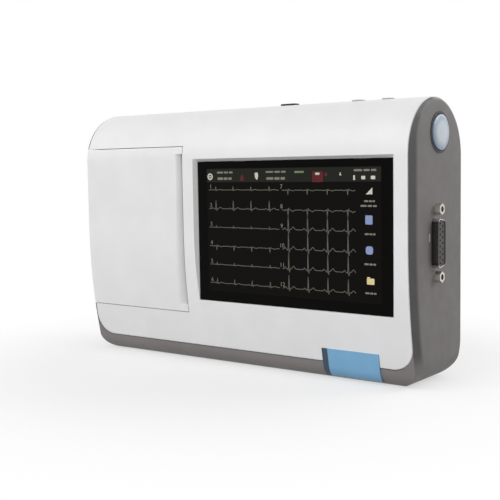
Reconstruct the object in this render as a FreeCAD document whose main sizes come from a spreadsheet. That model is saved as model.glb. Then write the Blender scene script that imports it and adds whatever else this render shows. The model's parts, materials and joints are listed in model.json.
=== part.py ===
"""Portable ECG recorder: an upright case with a touch screen, a lead socket and a paper printer.

The case is a profile with an arched top, carried along X. A white front shell and a grey rear
housing share that skin, and a door on the left closes the printer. +X is right, +Y is back,
+Z is up, and the origin is the middle of the case's flat underside. Lengths are millimetres.
"""
import FreeCAD
import Part
import Sketcher
import math
import os
from types import SimpleNamespace
from FreeCAD import Rotation, Vector

SIZES = {
    # Case
    "case_d": 57.0,             # front to back, twice the radius of the arched top
    "crown_h": 21.0,            # door to the top of the arch
    "front_gap": 9.6,           # white front between the door and the glass
    "wall": 2.4,                # front, top, back and bottom walls
    "end_wall": 2.4,            # left and right end panels
    "front_bend_z": 73.9,       # height below which the front leans back
    "front_bend_r": 320.0,      # radius of that lean
    "front_low_r": 9.0,         # round under the front
    "rear_low_r": 19.0,         # round under the back
    "end_low_r": 13.0,           # round under each end panel
    "bevel_w": 1.0,             # bevel of the end panels, seen from the front
    "bevel_d": 8.5,             # bevel of the end panels, seen from the side
    "end_edge_r": 2.0,          # round along the other edges of the end panels
    "band_h": 9.2,              # grey band under the white front
    "white_corner_r": 12.0,     # lower corners of the white front
    "white_edge_r": 0.7,        # softened rim of the white front
    "parting_y": 8.0,           # where white meets grey behind the top of the arch
    "seam": 0.2,                # gap between white and grey
    # Printer door
    "door_low_z": 28.3,
    "door_over": 2.0,           # door beyond the tray, above and below
    "door_gap": 0.35,
    "hinge_back": 1.5,          # hinge line behind the end panel's bevel
    "pin_r": 0.6,
    "pin_hold": 6.0,            # length of a hinge pin on each side of the gap
    "grip_w": 3.6,              # rounded grip down the door's free edge
    "grip_depth": 2.8,
    "grip_bulge": 0.4,          # how far the round stands out from a flat bevel
    "grip_end": 4.0,            # plain edge above and below the grip
    "grip_gap": 2.6,            # more gap along the grip, for a fingertip
    "lip_w": 2.8,               # lip that thickens the door behind the grip
    "lip_t": 2.0,
    "pocket_d": 12.0,           # pocket behind the grip
    "pocket_w": 12.0,
    "pocket_wall": 1.5,
    "catch_z": 81.9,
    "magnet_r": 3.0,
    "magnet_t": 3.0,
    "striker_t": 1.2,
    # Display
    "glass_in": 9.5,            # glass from the white front's right edge
    "glass_low_z": 36.3,
    "glass_w": 120.6,
    "glass_h": 75.9,
    "glass_t": 1.8,
    "glass_gap": 0.3,
    "window_chamfer": 1.5,
    "skirt_t": 2.4,             # wall that frames the glass inside the shell
    "gasket_t": 1.0,
    "gasket_w": 4.0,
    "lcd_edge": 1.2,            # display module inside the glass outline
    "lcd_t": 6.0,
    "bracket_t": 1.0,
    "strap_w": 8.0,
    "strap_pitch": 76.0,        # between the bracket's two straps
    "strap_reach": 5.9,         # bracket screws above and below the glass
    "standoff_h": 5.0,
    "standoff_r": 2.2,
    "board_t": 1.6,
    "board_w": 104.0,
    "board_h": 74.0,
    "board_hole_x": 40.0,       # board screws from the board's middle
    "board_hole_z": 30.0,
    # Power button
    "button_y": 2.5,
    "button_rise": 11.1,        # above the middle of the arch
    "button_r": 8.7,
    "button_proud": 0.9,
    "button_dome": 0.7,
    "button_travel": 1.0,
    "button_gap": 0.3,
    "ring_flange": 1.2,
    "switch_w": 6.0,
    # Lead socket
    "lead_y": -2.0,
    "lead_z": 70.5,
    "post_pitch": 33.32,        # between the two jack posts
    "post_flats": 5.0,
    "post_len": 3.6,
    "post_thread_r": 1.42,
    "shell_len": 24.8,
    "shell_w": 8.2,
    "shell_reach": 3.4,
    "pin_pitch": 2.77,
    "pin_rows": 2.84,
    # Ports on top
    "sync_in": 25.9,            # outer jack from the white front's right edge
    "dc_pitch": 17.2,           # between the two jacks
    "usb_pitch": 42.8,          # from the inner jack to the data port
    "usb_w": 9.2,
    "usb_d": 4.4,
    "usb_proud": 0.9,
    "dc_r": 3.6,
    "sync_r": 3.4,
    "jack_proud": 0.5,
    "port_depth": 16.0,         # port board under the top of the arch
    # Printer
    "tray_wall": 1.6,
    "tray_back_gap": 1.1,
    "tray_side_gap": 2.8,       # between the tray and the pocket
    "roll_r": 19.0,
    "roll_gap": 1.75,
    "paper_w": 80.0,
    "paper_room": 2.7,          # tray beyond the paper, above and below
    "core_r": 8.2,
    "spindle_r": 6.2,
    "spindle_end_r": 4.0,
    "platen_in": 9.6,           # platen's middle from the left end panel
    "platen_y": -4.5,
    "platen_r": 5.0,
    "platen_shaft_r": 2.0,
    "bush_t": 1.5,
    "head_t": 1.2,
    "head_w": 10.5,
    "head_bracket_t": 3.0,
    "nip": 0.3,                 # room for the paper between platen and head
    "spring_gap": 8.0,          # room for the leaf spring behind the head
    "spring_t": 0.4,
    "slot_w": 5.0,              # paper slot in the left end panel
    "tear_t": 0.6,
    "tooth_pitch": 2.0,         # serration of the tear bar
    "gear_module": 0.5,
    "gear_t": 4.0,
    "gear_room": 4.4,           # between the gears and the tray
    "backlash": 0.12,
    "idler_pin_r": 1.5,
    "idler_angle": 25.0,        # directions from one gear's middle to the next, degrees
    "pinion_angle": 20.0,
    "motor_r": 10.5,
    "motor_h": 13.0,
    "motor_shaft_r": 1.0,
    "gear_plate_t": 1.2,
    # Battery and back
    "battery_in": 26.5,         # battery from the white front's right edge
    "battery_z": 55.9,
    "battery_w": 70.0,
    "battery_h": 58.0,
    "battery_t": 19.0,
    "battery_room": 0.3,
    "ledge": 4.0,
    "cover_t": 2.0,
    "foot_r": 5.5,
    "foot_t": 1.5,
    "foot_in": 12.5,            # feet from the ends of the case
    "foot_low_z": 49.9,
    "foot_drop": 13.5,          # upper feet below the middle of the arch
    "speaker_r": 12.0,
    "speaker_gap": 7.0,         # between the speaker and the battery
    # Blue tab at the lower front
    "tab_in": 35.5,             # its middle from the white front's right edge
    "tab_w": 33.0,
    "tab_low_z": 1.6,
    "tab_high_z": 16.5,
    "tab_t": 0.6,
    # Fits and fasteners
    "running": 0.05,            # radial clearance of a turning fit
    "press": 0.01,              # radial clearance of a seated fit
    "rest_gap": 0.3,
    "case_screw_r": 1.5,
    "case_boss_r": 3.6,
    "case_screw_in": 15.5,      # lower screw from the white front's right edge
    "case_screw_up": 6.8,       # lower screws above the grey band
    "case_screw_over": 8.5,     # upper screws above the glass and the tray
    "small_screw_r": 1.0,
    "small_boss_r": 2.4,
}
PLATEN_TEETH = 30
IDLER_TEETH = 40
PINION_TEETH = 16
GEAR_TEETH = {"platen": PLATEN_TEETH, "idler": IDLER_TEETH, "pinion": PINION_TEETH}
PRESSURE_ANGLE = math.radians(20)

doc = FreeCAD.newDocument("ecg_recorder")
sheet = doc.addObject("Spreadsheet::Sheet", "Sizes")
nodes = []


class Size:
    """A length that carries its number and the sheet formula that gives it."""

    def __init__(self, number, text=None):
        self.number = float(number)
        self.text = text or repr(float(number))

    def __float__(self):
        return self.number

    def __neg__(self):
        return Size(-self.number, f"(-{self.text})")

    def __add__(self, other):
        other = as_size(other)
        return Size(self.number + other.number, f"({self.text} + {other.text})")

    def __sub__(self, other):
        return self + (-as_size(other))

    def __mul__(self, other):
        other = as_size(other)
        return Size(self.number * other.number, f"({self.text} * {other.text})")

    def __truediv__(self, other):
        other = as_size(other)
        return Size(self.number / other.number, f"({self.text} / {other.text})")

    def __rsub__(self, other):
        return as_size(other) - self

    __radd__ = __add__
    __rmul__ = __mul__


def as_size(value):
    """A plain number as a Size, or the Size itself."""
    return value if isinstance(value, Size) else Size(value)


def fill_sheet():
    """Write every driving dimension into the sheet and return them as Sizes."""
    for row, (alias, number) in enumerate(SIZES.items(), start=1):
        sheet.set(f"A{row}", alias)
        sheet.set(f"B{row}", str(number))
        sheet.setAlias(f"B{row}", alias)
    doc.recompute()
    return SimpleNamespace(**{a: Size(v, f"Sizes.{a}") for a, v in SIZES.items()})


s = fill_sheet()

# Places that several pieces share
tray_low_z = s.door_low_z + s.door_over
tray_in_low = tray_low_z + s.tray_wall
paper_low_z = tray_in_low + s.paper_room
tray_in_high = paper_low_z + s.paper_w + s.paper_room
tray_high_z = tray_in_high + s.tray_wall
door_high_z = tray_high_z + s.door_over
case_h = door_high_z + s.crown_h
roll_in = s.platen_in + s.head_w / 2 + s.roll_gap + s.roll_r
tray_in = roll_in + s.roll_r + s.roll_gap + s.tray_wall
pocket_in = tray_in + s.tray_side_gap + s.pocket_w + s.pocket_wall
case_w = (s.end_wall + pocket_in - s.door_gap + s.front_gap + s.glass_w + s.glass_in + s.bevel_w)
half_w = case_w / 2
half_d = s.case_d / 2
in_x = half_w - s.end_wall
in_y = half_d - s.wall
in_top = case_h - s.wall
arch_z = case_h - half_d
white_x = half_w - s.bevel_w
platen_x = s.platen_in - in_x
roll_x = roll_in - in_x
tray_left_x = 2 * s.rest_gap - in_x
tray_right_x = tray_in - in_x
door_right = pocket_in - s.door_gap - in_x
grip_low = s.door_low_z + s.grip_end
grip_high = door_high_z - s.grip_end
hinge_x = s.end_wall / 2 - half_w
hinge_y = s.bevel_d + s.hinge_back - half_d
glass_right = white_x - s.glass_in
glass_left = glass_right - s.glass_w
glass_x = glass_right - s.glass_w / 2
glass_high_z = s.glass_low_z + s.glass_h
glass_y = s.wall - half_d
gasket_y = glass_y + s.glass_t
lcd_y = gasket_y + s.gasket_t
bracket_y = lcd_y + s.lcd_t
standoff_y = bracket_y + s.bracket_t
board_y = standoff_y + s.standoff_h
board_z = s.glass_low_z + s.glass_h / 2
tray_front_y = hinge_y + s.hinge_back
tray_back_y = in_y - s.tray_back_gap
roll_y = tray_back_y - s.tray_wall - s.roll_r - s.tray_wall / 2
head_y = s.platen_y + s.platen_r + s.nip
head_bracket_y = head_y + s.head_t
spring_y = head_bracket_y + s.head_bracket_t
rib_y = spring_y + s.spring_gap
gear_high_z = tray_low_z - s.gear_room
gear_low_z = gear_high_z - s.gear_t
gear_plate_high = gear_low_z - 4 * s.rest_gap
gear_plate_low = gear_plate_high - s.gear_plate_t
button_z = arch_z + s.button_rise
button_ring_r = s.button_r + s.button_gap
ring_back_x = half_w - s.end_wall - 3 * s.rest_gap
switch_board_x = ring_back_x - 3.0 * s.button_travel - s.switch_w
sync_x = white_x - s.sync_in
dc_x = sync_x - s.dc_pitch
usb_x = dc_x - s.usb_pitch
port_board_z = case_h - s.port_depth
port_board_high = port_board_z + s.board_t
battery_x = white_x - s.battery_in - s.battery_w / 2
speaker_x = battery_x - s.battery_w / 2 - s.speaker_gap - s.speaker_r
speaker_z = arch_z - s.speaker_r
foot_x = half_w - s.foot_in
foot_high_z = arch_z - s.foot_drop
tab_x = white_x - s.tab_in


def formula(value):
    """The expression text that binds a property to the sheet."""
    return as_size(value).text


def place(thing, at, turn=None):
    """Turn an object, then bind its place to the sheet."""
    thing.Placement = FreeCAD.Placement(Vector(), turn or Rotation())
    for axis, where in zip("xyz", at):
        thing.setExpression(f"Placement.Base.{axis}", formula(where))
    return thing


ALONG = {
    "x": Rotation(Vector(0, 1, 0), 90),
    "y": Rotation(Vector(1, 0, 0), -90),
    "z": Rotation(),
}


def spot(axis, across, along):
    """A point from its two coordinates across an axis and its coordinate along it."""
    first, second = across
    return {"x": (along, first, second), "y": (first, along, second), "z": (first, second, along)}[axis]


def box(name, low, high):
    """A box between two corners."""
    solid = doc.addObject("Part::Box", name)
    for side, start, end in zip(("Length", "Width", "Height"), low, high):
        solid.setExpression(side, formula(as_size(end) - start))
    return place(solid, low)


def rod(name, axis, across, start, end, radius):
    """A round bar along an axis."""
    solid = doc.addObject("Part::Cylinder", name)
    solid.setExpression("Radius", formula(radius))
    solid.setExpression("Height", formula(as_size(end) - start))
    return place(solid, spot(axis, across, start), ALONG[axis])


def fuse(name, *parts):
    """One solid from several that touch or overlap."""
    joined = doc.addObject("Part::MultiFuse", name)
    joined.Shapes = list(parts)
    return joined


def common(name, first, second):
    """What two solids share."""
    shared = doc.addObject("Part::Common", name)
    shared.Base = first
    shared.Tool = second
    return shared


def cut(name, base, *tools):
    """A solid less its tools."""
    result = doc.addObject("Part::Cut", name)
    result.Base = base
    result.Tool = tools[0] if len(tools) == 1 else fuse(f"{name}_tools", *tools)
    return result


def group(name, parts):
    """Separate like solids that share one node."""
    together = doc.addObject("Part::Compound", name)
    together.Links = list(parts)
    return together


def feature(name, shape):
    """A shape worked out from the sheet's numbers."""
    thing = doc.addObject("Part::Feature", name)
    thing.Shape = shape
    return thing


def node(thing, label):
    """Name a finished sub-part."""
    thing.Label = label
    nodes.append(thing)
    return thing


def bind(sketch, kind, *where):
    """Add a sketch dimension whose value follows the sheet."""
    *target, value = where
    index = sketch.addConstraint(Sketcher.Constraint(kind, *target, float(value)))
    sketch.setExpression(f"Constraints[{index}]", formula(value))


def draw_loop(sketch, corners):
    """Draw a closed outline of straight sides with every corner dimensioned."""
    first = sketch.GeometryCount
    count = len(corners)
    points = [Vector(float(u), float(v), 0) for u, v in corners]
    for side in range(count):
        sketch.addGeometry(Part.LineSegment(points[side], points[(side + 1) % count]), False)
    for side in range(count):
        following = first + (side + 1) % count
        sketch.addConstraint(Sketcher.Constraint("Coincident", first + side, 2, following, 1))
    for side, (u, v) in enumerate(corners):
        bind(sketch, "DistanceX", first + side, 1, as_size(u))
        bind(sketch, "DistanceY", first + side, 1, as_size(v))


def draw_hole(sketch, centre, radius):
    """Draw a circle with its middle and radius dimensioned."""
    u, v = centre
    circle = Part.Circle(Vector(float(u), float(v), 0), Vector(0, 0, 1), float(radius))
    index = sketch.addGeometry(circle, False)
    bind(sketch, "DistanceX", index, 3, as_size(u))
    bind(sketch, "DistanceY", index, 3, as_size(v))
    bind(sketch, "Radius", index, as_size(radius))


def new_sketch(body, role):
    """A sketch on one of the body's own origin planes."""
    sketch = body.newObject("Sketcher::SketchObject", f"{body.Name}_sketch")
    plane = next(f for f in body.Origin.OriginFeatures if f.Role == role)
    sketch.AttachmentSupport = (plane, [""])
    sketch.MapMode = "FlatFace"
    return sketch


def plate(name, across, low, high, loops, holes=()):
    """A flat piece between two levels across X, Y or Z, padded from its outline."""
    body = doc.addObject("PartDesign::Body", name)
    role = {"x": "YZ_Plane", "y": "XZ_Plane", "z": "XY_Plane"}[across]
    sketch = new_sketch(body, role)
    for corners in loops:
        draw_loop(sketch, corners)
    for centre, radius in holes:
        draw_hole(sketch, centre, radius)
    level = -as_size(high) if across == "y" else low
    sketch.setExpression("AttachmentOffset.Base.z", formula(level))
    pad = body.newObject("PartDesign::Pad", f"{name}_pad")
    pad.Profile = sketch
    pad.setExpression("Length", formula(as_size(high) - low))
    return body


def rectangle(left, low, right, high):
    """The corners of an upright rectangle."""
    return ((left, low), (right, low), (right, high), (left, high))


def turned(name, axis, across, along, corners):
    """A lathe-turned piece: an outline of radius and length, revolved about an axis."""
    body = doc.addObject("PartDesign::Body", name)
    sketch = new_sketch(body, "XZ_Plane")
    draw_loop(sketch, corners)
    revolution = body.newObject("PartDesign::Revolution", f"{name}_turn")
    revolution.Profile = sketch
    revolution.ReferenceAxis = (sketch, ["V_Axis"])
    revolution.Angle = 360
    return place(body, spot(axis, across, along), ALONG[axis])


def sleeve(inner, outer, length):
    """The outline of a plain tube."""
    return rectangle(inner, 0, outer, length)


def screw(name, axis, across, seat, tip, shank_r, head_out):
    """A pan-head screw: head outside its seat, shank from the seat to the tip.

    head_out is +1 where the head lies further along the axis than its seat, else -1.
    """
    head_r = shank_r * 1.9
    crown = as_size(seat) + head_out * shank_r * 1.2
    slot = head_out * shank_r * 0.5
    ends = (seat, crown) if head_out > 0 else (crown, seat)
    shank_ends = (tip, seat) if head_out > 0 else (seat, tip)
    head = rod(f"{name}_head", axis, across, *ends, head_r)
    shank = rod(f"{name}_shank", axis, across, *shank_ends, shank_r)
    drive_ends = (crown - slot, crown) if head_out > 0 else (crown, crown - slot)
    drive = rod(f"{name}_drive", axis, across, *drive_ends, shank_r * 0.8)
    return cut(name, fuse(f"{name}_blank", head, shank), drive)


def arc(start, middle, end):
    """A circular edge through three points."""
    return Part.Arc(start, middle, end).toShape()


def profile(inset, x, front_shift=0.0):
    """The case's side outline at one x, drawn in by inset all round.

    front_shift moves the front back and leaves the top of the arch where it is.
    """
    half = float(half_d) - inset
    front = front_shift - half
    floor = inset
    top = float(case_h) - inset
    bend_r = float(s.front_bend_r) - inset
    bend_y, bend_z = front + bend_r, float(s.front_bend_z)
    low_r = float(s.front_low_r) - inset
    low_z = floor + low_r
    low_y = bend_y - math.sqrt((bend_r - low_r) ** 2 - (bend_z - low_z) ** 2)
    lean = math.atan2(bend_z - low_z, bend_y - low_y)
    rear_r = float(s.rear_low_r) - inset
    front_arch = half - front_shift

    def at(y, z):
        return Vector(x, y, z)

    def round_point(y, z, radius, angle):
        return at(y + radius * math.cos(angle), z + radius * math.sin(angle))

    right_angle = math.pi / 2
    shoulder = at(front, top - front_arch)
    bend_start = at(front, bend_z)
    bend_middle = round_point(bend_y, bend_z, bend_r, math.pi + lean / 2)
    bend_end = round_point(bend_y, bend_z, bend_r, math.pi + lean)
    low_middle = round_point(low_y, low_z, low_r, math.pi + (lean + right_angle) / 2)
    low_end = at(low_y, floor)
    rear_start = at(half - rear_r, floor)
    rear_middle = round_point(half - rear_r, floor + rear_r, rear_r, -right_angle / 2)
    rear_end = at(half, floor + rear_r)
    rear_shoulder = at(half, top - half)
    rear_crown = round_point(0, top - half, half, right_angle / 2)
    crown = at(0, top)
    front_crown = round_point(0, top - front_arch, front_arch, 1.5 * right_angle)
    return Part.Wire([
        Part.makeLine(shoulder, bend_start),
        arc(bend_start, bend_middle, bend_end),
        arc(bend_end, low_middle, low_end),
        Part.makeLine(low_end, rear_start),
        arc(rear_start, rear_middle, rear_end),
        Part.makeLine(rear_end, rear_shoulder),
        arc(rear_shoulder, rear_crown, crown),
        arc(crown, front_crown, shoulder),
    ])


def slab(inset, half_length):
    """The side outline carried along X, as far to the left as to the right."""
    reach = float(half_length)
    return Part.Face(profile(inset, -reach)).extrude(Vector(2 * reach, 0, 0))


def front_prism(half_width, low, corner_r, start_y, end_y):
    """An upright panel outline with round lower corners, carried along Y."""
    w, r, top = float(half_width), float(corner_r), 2 * float(case_h)
    low = float(low)
    mid = r * (1 - math.sqrt(0.5))

    def at(x, z):
        return Vector(x, float(start_y), z)

    outline = Part.Wire([
        Part.makeLine(at(-w, top), at(-w, low + r)),
        arc(at(-w, low + r), at(-w + mid, low + mid), at(-w + r, low)),
        Part.makeLine(at(-w + r, low), at(w - r, low)),
        arc(at(w - r, low), at(w - mid, low + mid), at(w, low + r)),
        Part.makeLine(at(w, low + r), at(w, top)),
        Part.makeLine(at(w, top), at(-w, top)),
    ])
    return Part.Face(outline).extrude(Vector(0, float(end_y) - float(start_y), 0))


def end_rims():
    """Outlines from the start of an end panel's round to its flat face: x, inset and front shift.

    The top, back and bottom follow the round, and the front follows the flat bevel.
    """
    end, radius = float(half_w), float(s.end_edge_r)
    bevel_w, bevel_d = float(s.bevel_w), float(s.bevel_d)
    rims = [(end - radius, 0.0, 0.0)]
    for share in (0.0, 0.5, 0.8, 1.0):
        x = end - bevel_w * (1 - share)
        inset = radius - math.sqrt(radius ** 2 - (x - end + radius) ** 2)
        rims.append((x, inset, bevel_d * share - inset))
    return rims


def outer_case():
    """The whole case as one solid, with bevelled and rounded end panels."""
    body = slab(0.0, half_w - s.end_edge_r)
    for side in (-1, 1):
        rims = [profile(inset, side * x, shift) for x, inset, shift in end_rims()]
        body = body.fuse(Part.makeLoft(rims, True, True))
    return body.common(front_prism(half_w, 0, s.end_low_r, -s.case_d, s.case_d)).removeSplitter()


def case_cavity():
    """The room inside the walls."""
    corner = float(s.end_low_r) - float(s.wall)
    return slab(float(s.wall), in_x).common(front_prism(in_x, s.wall, corner, -s.case_d, s.case_d))


def front_depth(z, inset):
    """How far the front surface lies from the case's middle plane at a height."""
    half = float(half_d) - inset
    rise, drop = z - float(arch_z), float(s.front_bend_z) - z
    if rise > 0:
        return math.sqrt(max(half ** 2 - rise ** 2, 0.0))
    if drop > 0:
        radius = float(s.front_bend_r) - inset
        return half - radius + math.sqrt(radius ** 2 - drop ** 2)
    return half


def white_blank():
    """The white front skin, with its outer rim softened."""
    wall, seam = float(s.wall), float(s.seam)
    skin = slab(0.0, half_w).cut(slab(wall, case_w))
    panel = front_prism(white_x - seam, s.band_h + seam, s.white_corner_r - seam, -s.case_d,
                        s.parting_y - seam)
    blank = skin.common(panel)
    edge_x, touch = float(white_x) - seam, 0.01
    rim = []
    for edge in blank.Edges:
        middle = edge.valueAt((edge.FirstParameter + edge.LastParameter) / 2)
        on_outside = abs(-middle.y - front_depth(middle.z, 0.0)) < touch
        on_outline = abs(abs(middle.x) - edge_x) < touch or middle.z < float(s.band_h + s.white_corner_r)
        if on_outside and on_outline and middle.y < 0:
            rim.append(edge)
    return blank.makeFillet(float(s.white_edge_r), rim)


def make_case():
    """Front shell, rear housing, printer door and what holds the door."""
    outer = feature("case_outer", outer_case())
    cavity = feature("case_cavity", case_cavity())
    skin = cut("case_skin", outer, cavity)
    half_inset = float(s.wall) / 2
    core = feature("case_core", slab(half_inset, in_x).common(
        front_prism(in_x, half_inset, s.end_low_r - half_inset, -s.case_d, s.case_d)))
    make_front_shell(core)
    make_rear_housing(skin, core)
    make_door(skin)


def case_screw_spots():
    """Where the case's two halves are screwed together."""
    low = s.band_h + s.case_screw_up
    right = white_x - s.case_screw_in
    return [(right - s.case_boss_r * 2, glass_high_z + s.case_screw_over),
            (right, low),
            (door_right - s.case_boss_r, low),
            (roll_x, tray_high_z + s.case_screw_over + s.wall)]


def bracket_spots():
    """Where the display bracket is screwed to the front shell."""
    left = glass_x - s.strap_pitch / 2
    right = glass_x + s.strap_pitch / 2
    low = s.glass_low_z - s.strap_reach + s.rest_gap
    high = glass_high_z + s.strap_reach
    return [(x, z) for x in (left, right) for z in (low, high)]


def port_board_spots():
    """Where the port board hangs from the top of the front shell."""
    left = (usb_x + dc_x) / 2
    right = (dc_x + sync_x) / 2
    return [left, right]


def make_front_shell(core):
    """White front: window, skirt round the glass, bosses, ports and the pocket behind the door's grip."""
    opening_x = door_right + s.door_gap
    inside = [rod("front_boss", "y", (x, z), -half_d, 0, s.case_boss_r) for x, z in case_screw_spots()]
    inside += [rod("bracket_boss", "y", at, -half_d, bracket_y, s.small_boss_r)
               for at in bracket_spots()]
    inside += [rod("port_boss", "z", (x, 0), port_board_high, case_h, s.small_boss_r)
               for x in port_board_spots()]
    rim = s.glass_gap + s.skirt_t
    inside.append(box("skirt", (glass_left - rim, -half_d, s.glass_low_z - rim),
                      (glass_right + rim, lcd_y, glass_high_z + rim)))
    pocket_left = opening_x - s.pocket_w - s.pocket_wall
    pocket_back = s.wall - half_d + s.pocket_d
    pocket_low = grip_low - s.lip_t - s.pocket_wall
    pocket_high = grip_high + s.lip_t + s.pocket_wall
    inside.append(box("pocket_side", (opening_x, -half_d, pocket_low),
                      (opening_x + s.pocket_wall, pocket_back, pocket_high)))
    pocket = box("pocket_block", (pocket_left, -half_d, pocket_low),
                 (opening_x + s.pocket_wall, pocket_back, pocket_high))
    magnet_x = pocket_left - s.magnet_r
    holder_reach = s.magnet_r + s.pocket_wall
    magnet_y = s.wall + s.striker_t + s.rest_gap - half_d
    holder = box("magnet_holder", (magnet_x - holder_reach, -half_d, s.catch_z - holder_reach),
                 (pocket_left + s.pocket_wall, magnet_y + s.magnet_t + s.pocket_wall,
                  s.catch_z + holder_reach))
    behind_door = feature("behind_door", slab(float(s.wall + s.striker_t + s.rest_gap), half_w))
    pocket_part = common("pocket_part", fuse("pocket_solid", pocket, holder), behind_door)
    bosses = common("front_inside", fuse("front_inside_blank", *inside), core)
    blank = feature("white_blank", white_blank())
    door_hole = box("door_hole", (-case_w, -s.case_d, s.door_low_z - s.door_gap),
                    (opening_x, hinge_y, door_high_z + s.door_gap))
    shell = fuse("front_solid", cut("front_skin", blank, door_hole), bosses, pocket_part)
    hollow = box("pocket_hollow", (pocket_left + s.pocket_wall, -s.case_d, pocket_low + s.pocket_wall),
                 (opening_x, pocket_back - s.pocket_wall, pocket_high - s.pocket_wall))
    tools = [hollow]
    tools.append(rod("magnet_seat", "y", (magnet_x, s.catch_z), -half_d, magnet_y + s.magnet_t,
                     s.magnet_r + s.press))
    tools.append(box("window", (glass_left - s.glass_gap, -s.case_d, s.glass_low_z - s.glass_gap),
                     (glass_right + s.glass_gap, 0, glass_high_z + s.glass_gap)))
    tools.append(window_chamfer())
    tools += [rod("case_pilot", "y", (x, z), -s.pocket_d, s.rest_gap, s.case_screw_r + s.press)
              for x, z in case_screw_spots()]
    tools += [rod("bracket_pilot", "y", at, lcd_y, standoff_y, s.small_screw_r + s.press)
              for at in bracket_spots()]
    tools += [rod("port_pilot", "z", (x, 0), port_board_z, in_top - s.wall, s.small_screw_r + s.press)
              for x in port_board_spots()]
    tools.append(box("usb_hole", (usb_x - s.usb_w / 2 - s.seam, -s.usb_d / 2 - s.seam, port_board_high),
                     (usb_x + s.usb_w / 2 + s.seam, s.usb_d / 2 + s.seam, case_h + s.wall)))
    for x, radius in ((dc_x, s.dc_r), (sync_x, s.sync_r)):
        tools.append(rod("jack_hole", "z", (x, 0), port_board_high, case_h + s.wall, radius + s.seam))
    node(cut("front_shell", shell, *tools), "front_shell")
    magnet = rod("magnet", "y", (magnet_x, s.catch_z), magnet_y, magnet_y + s.magnet_t, s.magnet_r)
    node(magnet, "door_magnet")
    striker = plate("striker", "y", s.wall - half_d, s.wall - half_d + s.striker_t,
                    [rectangle(magnet_x - holder_reach, s.catch_z - s.magnet_r,
                               magnet_x + s.magnet_r, s.catch_z + s.magnet_r)])
    node(striker, "door_striker")


def window_chamfer():
    """The sloped recess round the glass, wide at the face and tight at the glass."""
    wedge = doc.addObject("Part::Wedge", "window_chamfer")
    flare = s.window_chamfer
    gap = s.glass_gap
    bounds = {
        "Xmin": glass_left - gap - flare, "Xmax": glass_right + gap + flare,
        "Zmin": s.glass_low_z - gap - flare, "Zmax": glass_high_z + gap + flare,
        "X2min": glass_left - gap, "X2max": glass_right + gap,
        "Z2min": s.glass_low_z - gap, "Z2max": glass_high_z + gap,
        "Ymin": -half_d, "Ymax": glass_y,
    }
    for name, value in bounds.items():
        wedge.setExpression(name, formula(value))
    return wedge


def battery_bounds(room):
    """Corners of the battery's space in front view, with room round the pack."""
    return ((battery_x - s.battery_w / 2 - room, s.battery_z - s.battery_h / 2 - room),
            (battery_x + s.battery_w / 2 + room, s.battery_z + s.battery_h / 2 + room))


def cover_screw_spots():
    """Where the battery cover is screwed down, in the ledge beside the pack."""
    (left, _), (right, _) = battery_bounds(s.battery_room)
    return [(left - s.ledge / 2, s.battery_z), (right + s.ledge / 2, s.battery_z)]


def tray_screw_spots():
    """Where the printer tray is screwed to the back wall."""
    left = tray_left_x + 2 * s.small_boss_r
    right = tray_right_x - 2 * s.small_boss_r
    low = tray_in_low + 1.5 * s.small_boss_r
    high = tray_in_high - 1.5 * s.small_boss_r
    return [(x, z) for x in (left, right) for z in (low, high)]


def switch_board_spots():
    """Where the power switch's board is screwed to the right end panel."""
    reach = s.button_r + s.ring_flange + s.small_boss_r
    low = button_z - s.button_r
    return [(s.button_y - reach, low), (s.button_y + reach, low)]


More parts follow.
